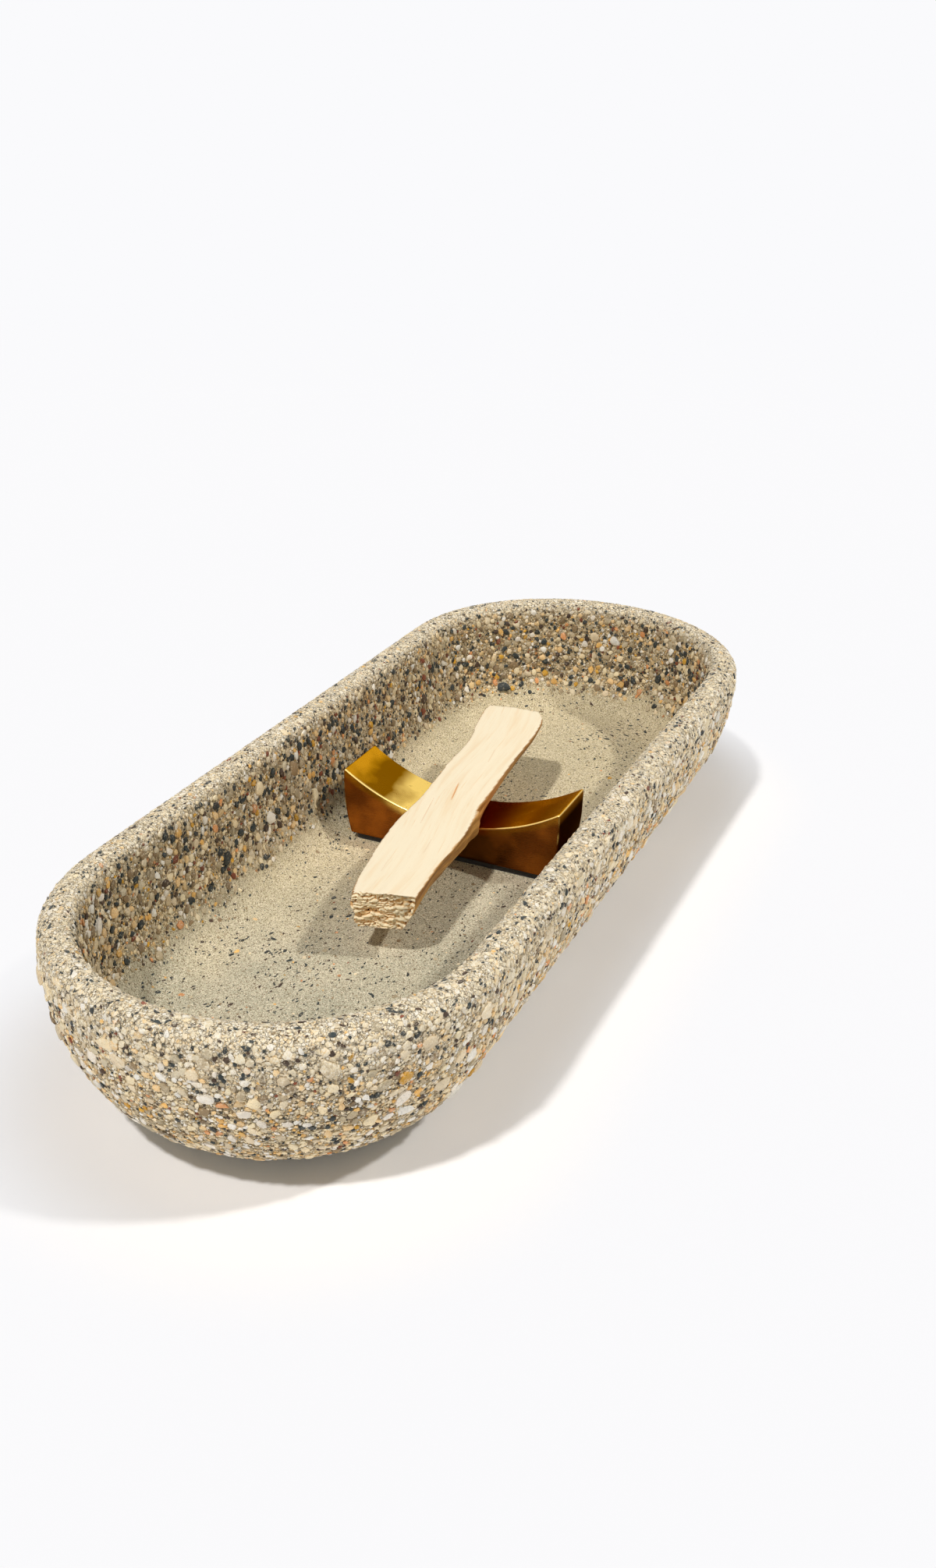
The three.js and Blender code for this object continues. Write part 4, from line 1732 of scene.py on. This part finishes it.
@dataclass
class Stick:
    """One split stick of palo santo, with its grain opened and its ends torn."""

    voxel: float = 0.34 * MM
    yaw: float = math.radians(6.8)
    tilt: float = math.radians(1.7)
    # The torn ends: rows of bundles of fibre, how deep they are torn, and the far end's share.
    row: float = 0.56 * MM
    bundle: float = 3.0 * MM
    torn: float = 1.7 * MM
    far_torn: float = 0.5
    # How far waves shift the rows and the bundles, and how wide the waves are.
    row_wave: tuple[float, float] = (1.6, 3.6 * MM)
    row_ripple: tuple[float, float] = (0.9, 1.5 * MM)
    bundle_wave: tuple[float, float] = (0.7, 1.6 * MM)
    bundle_slip: float = 0.61
    # How square the rows and bundles are, how they differ in height, and what breaks them.
    row_round: float = 0.5
    bundle_round: float = 0.18
    lowest_bundle: float = 0.35
    lot_mean: float = 0.5
    lot_swing: float = 0.8
    hole_blob: float = 0.8 * MM
    hole_edge: tuple[float, float] = (0.3, 0.5)
    hole_depth: float = 0.85
    end_grit: tuple[float, float] = (0.14, 0.4 * MM)
    # Which faces are ends, sides and top, and the torn skirt behind the near end.
    end_facing: tuple[float, float] = (0.25, 0.75)
    side_facing: tuple[float, float] = (0.35, 0.8)
    top_facing: tuple[float, float] = (0.6, 0.9)
    skirt: float = 1.8 * MM
    skirt_relief: float = 0.45 * MM
    skirt_level: float = 0.7
    lip: float = 0.1 * MM
    # The opened grain: lengths, widths and heights of its coarse and fine ridges.
    long_grain: tuple[float, float, float] = (26.0 * MM, 1.5 * MM, 1.5 * MM)
    fine_grain: tuple[float, float, float] = (9.0 * MM, 0.6 * MM, 0.6 * MM)
    long_relief: float = 0.08 * MM
    fine_relief: float = 0.035 * MM
    flank_relief: float = 2.4
    under_tan: float = 0.6
    grain_bend: float = 1.1 * MM
    grain_bend_length: float = 11.0 * MM
    # The cracks: how narrow they get, where their sides slope, and which faces show them.
    hairline: float = 0.001 * MM
    crack_edge: tuple[float, float] = (1.0, 0.2)
    crack_facing: float = 0.7
    crack_margin: float = 3.0
    # How often the mesh is cut finer beside the cracks and at the near end.
    crack_cuts: int = 1
    end_cuts: int = 3
    # The splinter on its right side, from the near end.
    splinter_from: float = 38.5 * MM
    splinter_to: float = 43.6 * MM
    splinter: float = 0.8 * MM
    splinter_crest: float = 0.8 * MM
    splinter_break: float = 0.5 * MM

    def __post_init__(self) -> None:
        """Works out the stick's own directions: along it, across it and up through it."""
        turn = Matrix.Rotation(self.yaw, 3, "Z") @ Matrix.Rotation(-self.tilt, 3, "Y")
        self.axes = np.array(turn).T

    def measure(self, places: np.ndarray) -> None:
        """Notes where the stick begins, its middle line and its top, in its own directions.

        Args:
            places: its vertices.
        """
        own = places @ self.axes.T
        low, high = own.min(axis=0), own.max(axis=0)
        self.start = np.array([low[0], (low[1] + high[1]) / 2, high[2]])
        self.length = high[0] - low[0]

    def local(self, places: np.ndarray) -> np.ndarray:
        """Gives distances along, across and up through the stick, from its near end's top."""
        return places @ self.axes.T - self.start

    def tear(self, own: np.ndarray) -> np.ndarray:
        """Gives the relief of a torn end: rows of short wavy bundles of fibre.

        Args:
            own: places in the stick's own directions.

        Returns:
            0 in the deepest gaps, 1 on the proudest bundles.
        """
        flat = own * (0.0, 1.0, 1.0)
        shift = waves(flat, self.row_wave, seed=1.0) + waves(flat, self.row_ripple, seed=2.0)
        across = own[:, 2] / self.row + shift
        row = np.floor(across)
        along = own[:, 1] / self.bundle + self.bundle_slip * row
        along += waves(flat, self.bundle_wave, seed=3.0)
        piece = np.floor(along)
        round_row = np.sin(math.pi * (across - row)) ** self.row_round
        round_piece = np.sin(math.pi * (along - piece)) ** self.bundle_round
        # Long steps through the noise give each bundle a height that its neighbours don't share.
        steps = np.stack([7.3 * row, 5.1 * piece, 0.37 * row + 0.71 * piece], axis=1)
        lot = self.lot_mean + self.lot_swing * noise_at(steps, 1.0, seed=0.5)
        hole = smooth_step(*self.hole_edge, noise_at(flat, self.hole_blob, seed=8.0))
        level = self.lowest_bundle + (1 - self.lowest_bundle) * lot
        proud = round_row * round_piece * level * (1 - self.hole_depth * hole)
        return np.clip(proud + waves(flat, self.end_grit, seed=6.0), 0.0, 1.0)

    def open_grain(self, own: np.ndarray) -> np.ndarray:
        """Gives the height of the split faces' grain, in metres.

        Args:
            own: places in the stick's own directions.

        Returns:
            One height for each place.
        """
        long = self.long_relief * noise_at(own / self.long_grain, 1.0, seed=3.0)
        return long + self.fine_relief * noise_at(own / self.fine_grain, 1.0, seed=5.0)

    def cracks(self, own: np.ndarray) -> np.ndarray:
        """Gives how far each place lies inside each crack.

        Args:
            own: places in the stick's own directions.

        Returns:
            A row for each place, with a share for each of SPLITS.
        """
        inside = []
        for split in SPLITS:
            along = (own[:, 0] - split.along) / (split.length / 2)
            across = own[:, 1] - split.across - split.slant * (own[:, 0] - split.along)
            width = split.width * np.sqrt(np.clip(1 - along**2, 0.0, 1.0))
            share = np.abs(across) / np.maximum(width, self.hairline)
            inside.append(smooth_step(*self.crack_edge, share) * (np.abs(along) < 1))
        return np.stack(inside, axis=1)

    def refine(self, stick: Shape) -> None:
        """Makes the mesh finer at the near end and along the cracks, where the detail is.

        Args:
            stick: the stick.
        """
        along, across, up = (Vector(axis) for axis in self.axes)
        start = Vector(self.start)

        def at_end(face: bmesh.types.BMFace) -> bool:
            """Says whether a face is on the torn end or just behind it."""
            return face.calc_center_median().dot(along) - start.x < self.skirt

        def at_crack(face: bmesh.types.BMFace) -> bool:
            """Says whether a face is on the top, close to a crack.

            Args:
                face: the face.

            Returns:
                Whether it is.
            """
            middle = face.calc_center_median()
            u, v = middle.dot(along) - start.x, middle.dot(across) - start.y
            return face.normal.dot(up) > self.crack_facing and any(
                abs(u - split.along) < split.length / 2
                and abs(v - split.across - split.slant * (u - split.along))
                < self.crack_margin * split.width
                for split in SPLITS
            )

        for wanted, cuts in ((at_crack, self.crack_cuts), (at_end, self.end_cuts)):
            stick.edit()
            stick.pick("FACE", wanted)
            bpy.ops.mesh.subdivide(number_cuts=cuts)
            stick.done()

    def build(self) -> None:
        """Remeshes a copy of the stick's solid, opens its grain, tears its ends and dresses it."""
        stick = merged_copy("palo_santo_stick", "palo_santo_split")
        stick.apply("REMESH", mode="VOXEL", voxel_size=self.voxel)
        self.measure(stick.vertices)
        self.refine(stick)
        places, normals = stick.vertices, stick.normals
        own = self.local(places)
        facing = normals @ self.axes.T
        near = own[:, 0] < self.length / 2
        near_end = smooth_step(*self.end_facing, -facing[:, 0]) * near
        far_end = smooth_step(*self.end_facing, facing[:, 0]) * ~near
        end = near_end + far_end
        relief = self.tear(own)
        side = smooth_step(*self.side_facing, np.abs(facing[:, 1])) * (1 - end)
        under = smooth_step(*self.side_facing, -facing[:, 2]) * (1 - end)
        top = smooth_step(*self.top_facing, facing[:, 2]) * (1 - end)
        height = self.open_grain(own) * (1 + self.flank_relief * side + under) * (1 - end)
        cracks = self.cracks(own) * top[:, None]
        height -= cracks @ np.array([split.depth for split in SPLITS])
        skirt = smooth_step(self.skirt, 0.0, own[:, 0]) * (1 - near_end)
        height += (relief - self.skirt_level) * skirt * self.skirt_relief
        height += self.splinter * self.splinter_share(own) * side * (facing[:, 1] < 0)
        ragged = np.maximum(near_end, smooth_step(self.skirt, self.lip, own[:, 0]))
        sunk = (1 - relief) * (ragged - self.far_torn * far_end) * self.torn
        stick.vertices = places + normals * height[:, None] + np.outer(sunk, self.axes[0])
        bend = self.grain_bend * np.sin(own[:, 0] / self.grain_bend_length)
        stick.keep("grain", (own + np.stack([0 * bend, bend, 0 * bend], axis=1)) * PER_MM)
        stick.keep("side", np.clip(side + self.under_tan * under, 0.0, 1.0))
        stick.keep("end", end)
        stick.keep("proud", relief)
        stick.keep("split", (cracks * np.array([split.stain for split in SPLITS])).max(axis=1))
        bpy.ops.object.shade_smooth()
        stick.dress(WoodFinish().material(), "pale_wood", "stick", "palo_santo_stick")

    def splinter_share(self, own: np.ndarray) -> np.ndarray:
        """Gives the lift of the splinter on the right side: a slow rise, then a break."""
        rise = smooth_step(self.splinter_from, self.splinter_to - self.splinter_crest, own[:, 0])
        edge = self.splinter_to - self.splinter_break
        return rise * smooth_step(self.splinter_to, edge, own[:, 0])


# How wide a lamp looks in the sky.
HARD = math.radians(4)
BROAD = math.radians(35)


@dataclass
class Lamp:
    """One soft far lamp: where it shines from, its width in the sky and its share of the light."""

    name: str
    towards: Vector
    width: float
    share: float
    colour: tuple[float, float, float]

    def build(self) -> None:
        """Hangs the lamp, with its share of a plain level of light on a level surface."""
        direction = self.towards.normalized()
        lamp = bpy.data.lights.new(self.name, "SUN")
        lamp.angle = self.width
        lamp.color = self.colour
        lamp.energy = self.share * math.pi / direction.z
        piece = placed(self.name, lamp)
        piece.location = direction
        piece.rotation_euler = direction.to_track_quat("Z", "Y").to_euler()


@dataclass
class Studio:
    """A pale floor that fades into a pale surround, two main lamps and two fills."""

    floor_radius: float = 1.1
    fade_start: float = 0.4
    fade_end: float = 1.0
    floor_colour: Colour = srgb(250, 250, 252)
    surround: Colour = srgb(250, 250, 252)
    ambient: Colour = (0.96, 0.98, 1.0, 1.0)
    glow: float = 0.88
    contact: tuple[float, float] = (41.0 * MM, 72.0 * MM)
    ambient_share: float = 0.07
    lamps: tuple[Lamp, ...] = (
        Lamp("near_left_lamp", Vector((-0.56, 0.15, 1.0)), HARD, 0.54, (1.0, 0.965, 0.925)),
        Lamp("right_lamp", Vector((0.33, -0.76, 1.0)), HARD, 0.35, (1.0, 0.965, 0.91)),
        Lamp("camera_side_fill", Vector((-0.9, -0.45, 0.45)), BROAD, 0.06, (1.0, 0.98, 0.95)),
        Lamp("far_side_fill", Vector((0.8, 0.7, 0.5)), BROAD, 0.03, (1.0, 0.99, 0.97)),
    )

    def floor(self) -> None:
        """Lays the floor, whose far parts let the surround show through."""
        bpy.ops.object.select_all(action="DESELECT")
        bpy.ops.mesh.primitive_circle_add(vertices=128, radius=self.floor_radius, fill_type="NGON")
        floor = Shape(bpy.context.object, "floor")
        nodes = Nodes("pale_floor")
        from_middle = nodes.vector("LENGTH", nodes.place)
        solid = nodes.between(from_middle, self.fade_end * PER_MM, self.fade_start * PER_MM)
        start, full = (edge * PER_MM for edge in self.contact)
        glow = nodes.between(self.beside(nodes), start, full, (0.0, self.glow))
        rays = nodes.add("ShaderNodeLightPath").outputs
        shown = nodes.maths("MAXIMUM", rays["Is Glossy Ray"], rays["Is Transmission Ray"])
        seen = nodes.maths("MULTIPLY", nodes.maths("MAXIMUM", shown, rays["Is Camera Ray"]), glow)
        floor.piece.data.materials.append(
            nodes.finish(
                Base_Color=nodes.mix(seen, self.floor_colour, (0.0, 0.0, 0.0, 1.0)),
                Emission_Color=self.floor_colour,
                Emission_Strength=seen,
                Roughness=0.9,
                Specular_IOR_Level=0.0,
                Alpha=solid,
            )
        )
        floor.piece

    def beside(self, nodes: Nodes) -> Socket:
        """Gives the distance, in millimetres, from the dish's middle line.

        Args:
            nodes: the floor's nodes.

        Returns:
            The distance.
        """
        _, half_straight = dish_plan()
        past_ends = nodes.vector("ABSOLUTE", nodes.place)
        past_ends = nodes.vector("SUBTRACT", past_ends, (half_straight * PER_MM, 0.0, 0.0))
        return nodes.vector("LENGTH", nodes.vector("MAXIMUM", past_ends, (0.0, 0.0, 0.0)))

    def world(self) -> None:
        """Lights all round dimly, and shows cameras, metal and glass a bright surround."""
        world = bpy.data.worlds.new("surround")
        world.use_nodes = True
        bpy.context.scene.world = world
        tree = world.node_tree
        tree.nodes.clear()
        rays = tree.nodes.new("ShaderNodeLightPath")
        seen = rays.outputs["Is Camera Ray"]
        for kind in ("Is Glossy Ray", "Is Transmission Ray"):
            either = tree.nodes.new("ShaderNodeMath")
            either.operation = "MAXIMUM"
            tree.links.new(seen, either.inputs[0])
            tree.links.new(rays.outputs[kind], either.inputs[1])
            seen = either.outputs["Value"]
        dim = tree.nodes.new("ShaderNodeBackground")
        dim.inputs["Color"].default_value = self.ambient
        dim.inputs["Strength"].default_value = self.ambient_share
        bright = tree.nodes.new("ShaderNodeBackground")
        bright.inputs["Color"].default_value = self.surround
        choice = tree.nodes.new("ShaderNodeMixShader")
        tree.links.new(seen, choice.inputs["Fac"])
        tree.links.new(dim.outputs["Background"], choice.inputs[1])
        tree.links.new(bright.outputs["Background"], choice.inputs[2])
        output = tree.nodes.new("ShaderNodeOutputWorld")
        tree.links.new(choice.outputs["Shader"], output.inputs["Surface"])

    def build(self) -> None:
        """Sets up the floor, the surround and the lamps."""
        self.floor()
        self.world()
        for lamp in self.lamps:
            lamp.build()


@dataclass
class PhotoCamera:
    """The photograph's viewpoint, fitted to the dish's outline."""

    place: Vector = field(default_factory=lambda: Vector((-291.26, -129.90, 183.05)) * MM)
    heading: float = math.radians(-66.71)
    pitch: float = math.radians(25.53)
    roll: float = math.radians(1.63)
    lens_mm: float = 35.39
    sensor_mm: float = 36.0

    def build(self) -> None:
        """Adds the camera and makes it the scene's."""
        camera = bpy.data.cameras.new("photo_camera")
        camera.lens = self.lens_mm
        camera.sensor_width = self.sensor_mm
        camera.clip_start = 0.01
        piece = placed("photo_camera", camera)
        piece.matrix_world = (
            Matrix.Translation(self.place)
            @ Matrix.Rotation(self.heading, 4, "Z")
            @ Matrix.Rotation(math.pi / 2 - self.pitch, 4, "X")
            @ Matrix.Rotation(self.roll, 4, "Z")
        )
        bpy.context.scene.camera = piece


def main() -> None:
    """Builds the holder piece by piece, then its studio and camera."""
    logging.basicConfig(level=logging.INFO, format="%(name)s: %(message)s")
    bpy.context.scene.view_settings.view_transform = "Standard"
    PhotoCamera().build()
    Studio().build()
    felt = FeltFinish().material()
    Dish().build()
    Feet().build(felt)
    Rest().build(felt)
    Stick().build()


if __name__ == "__main__":
    main()
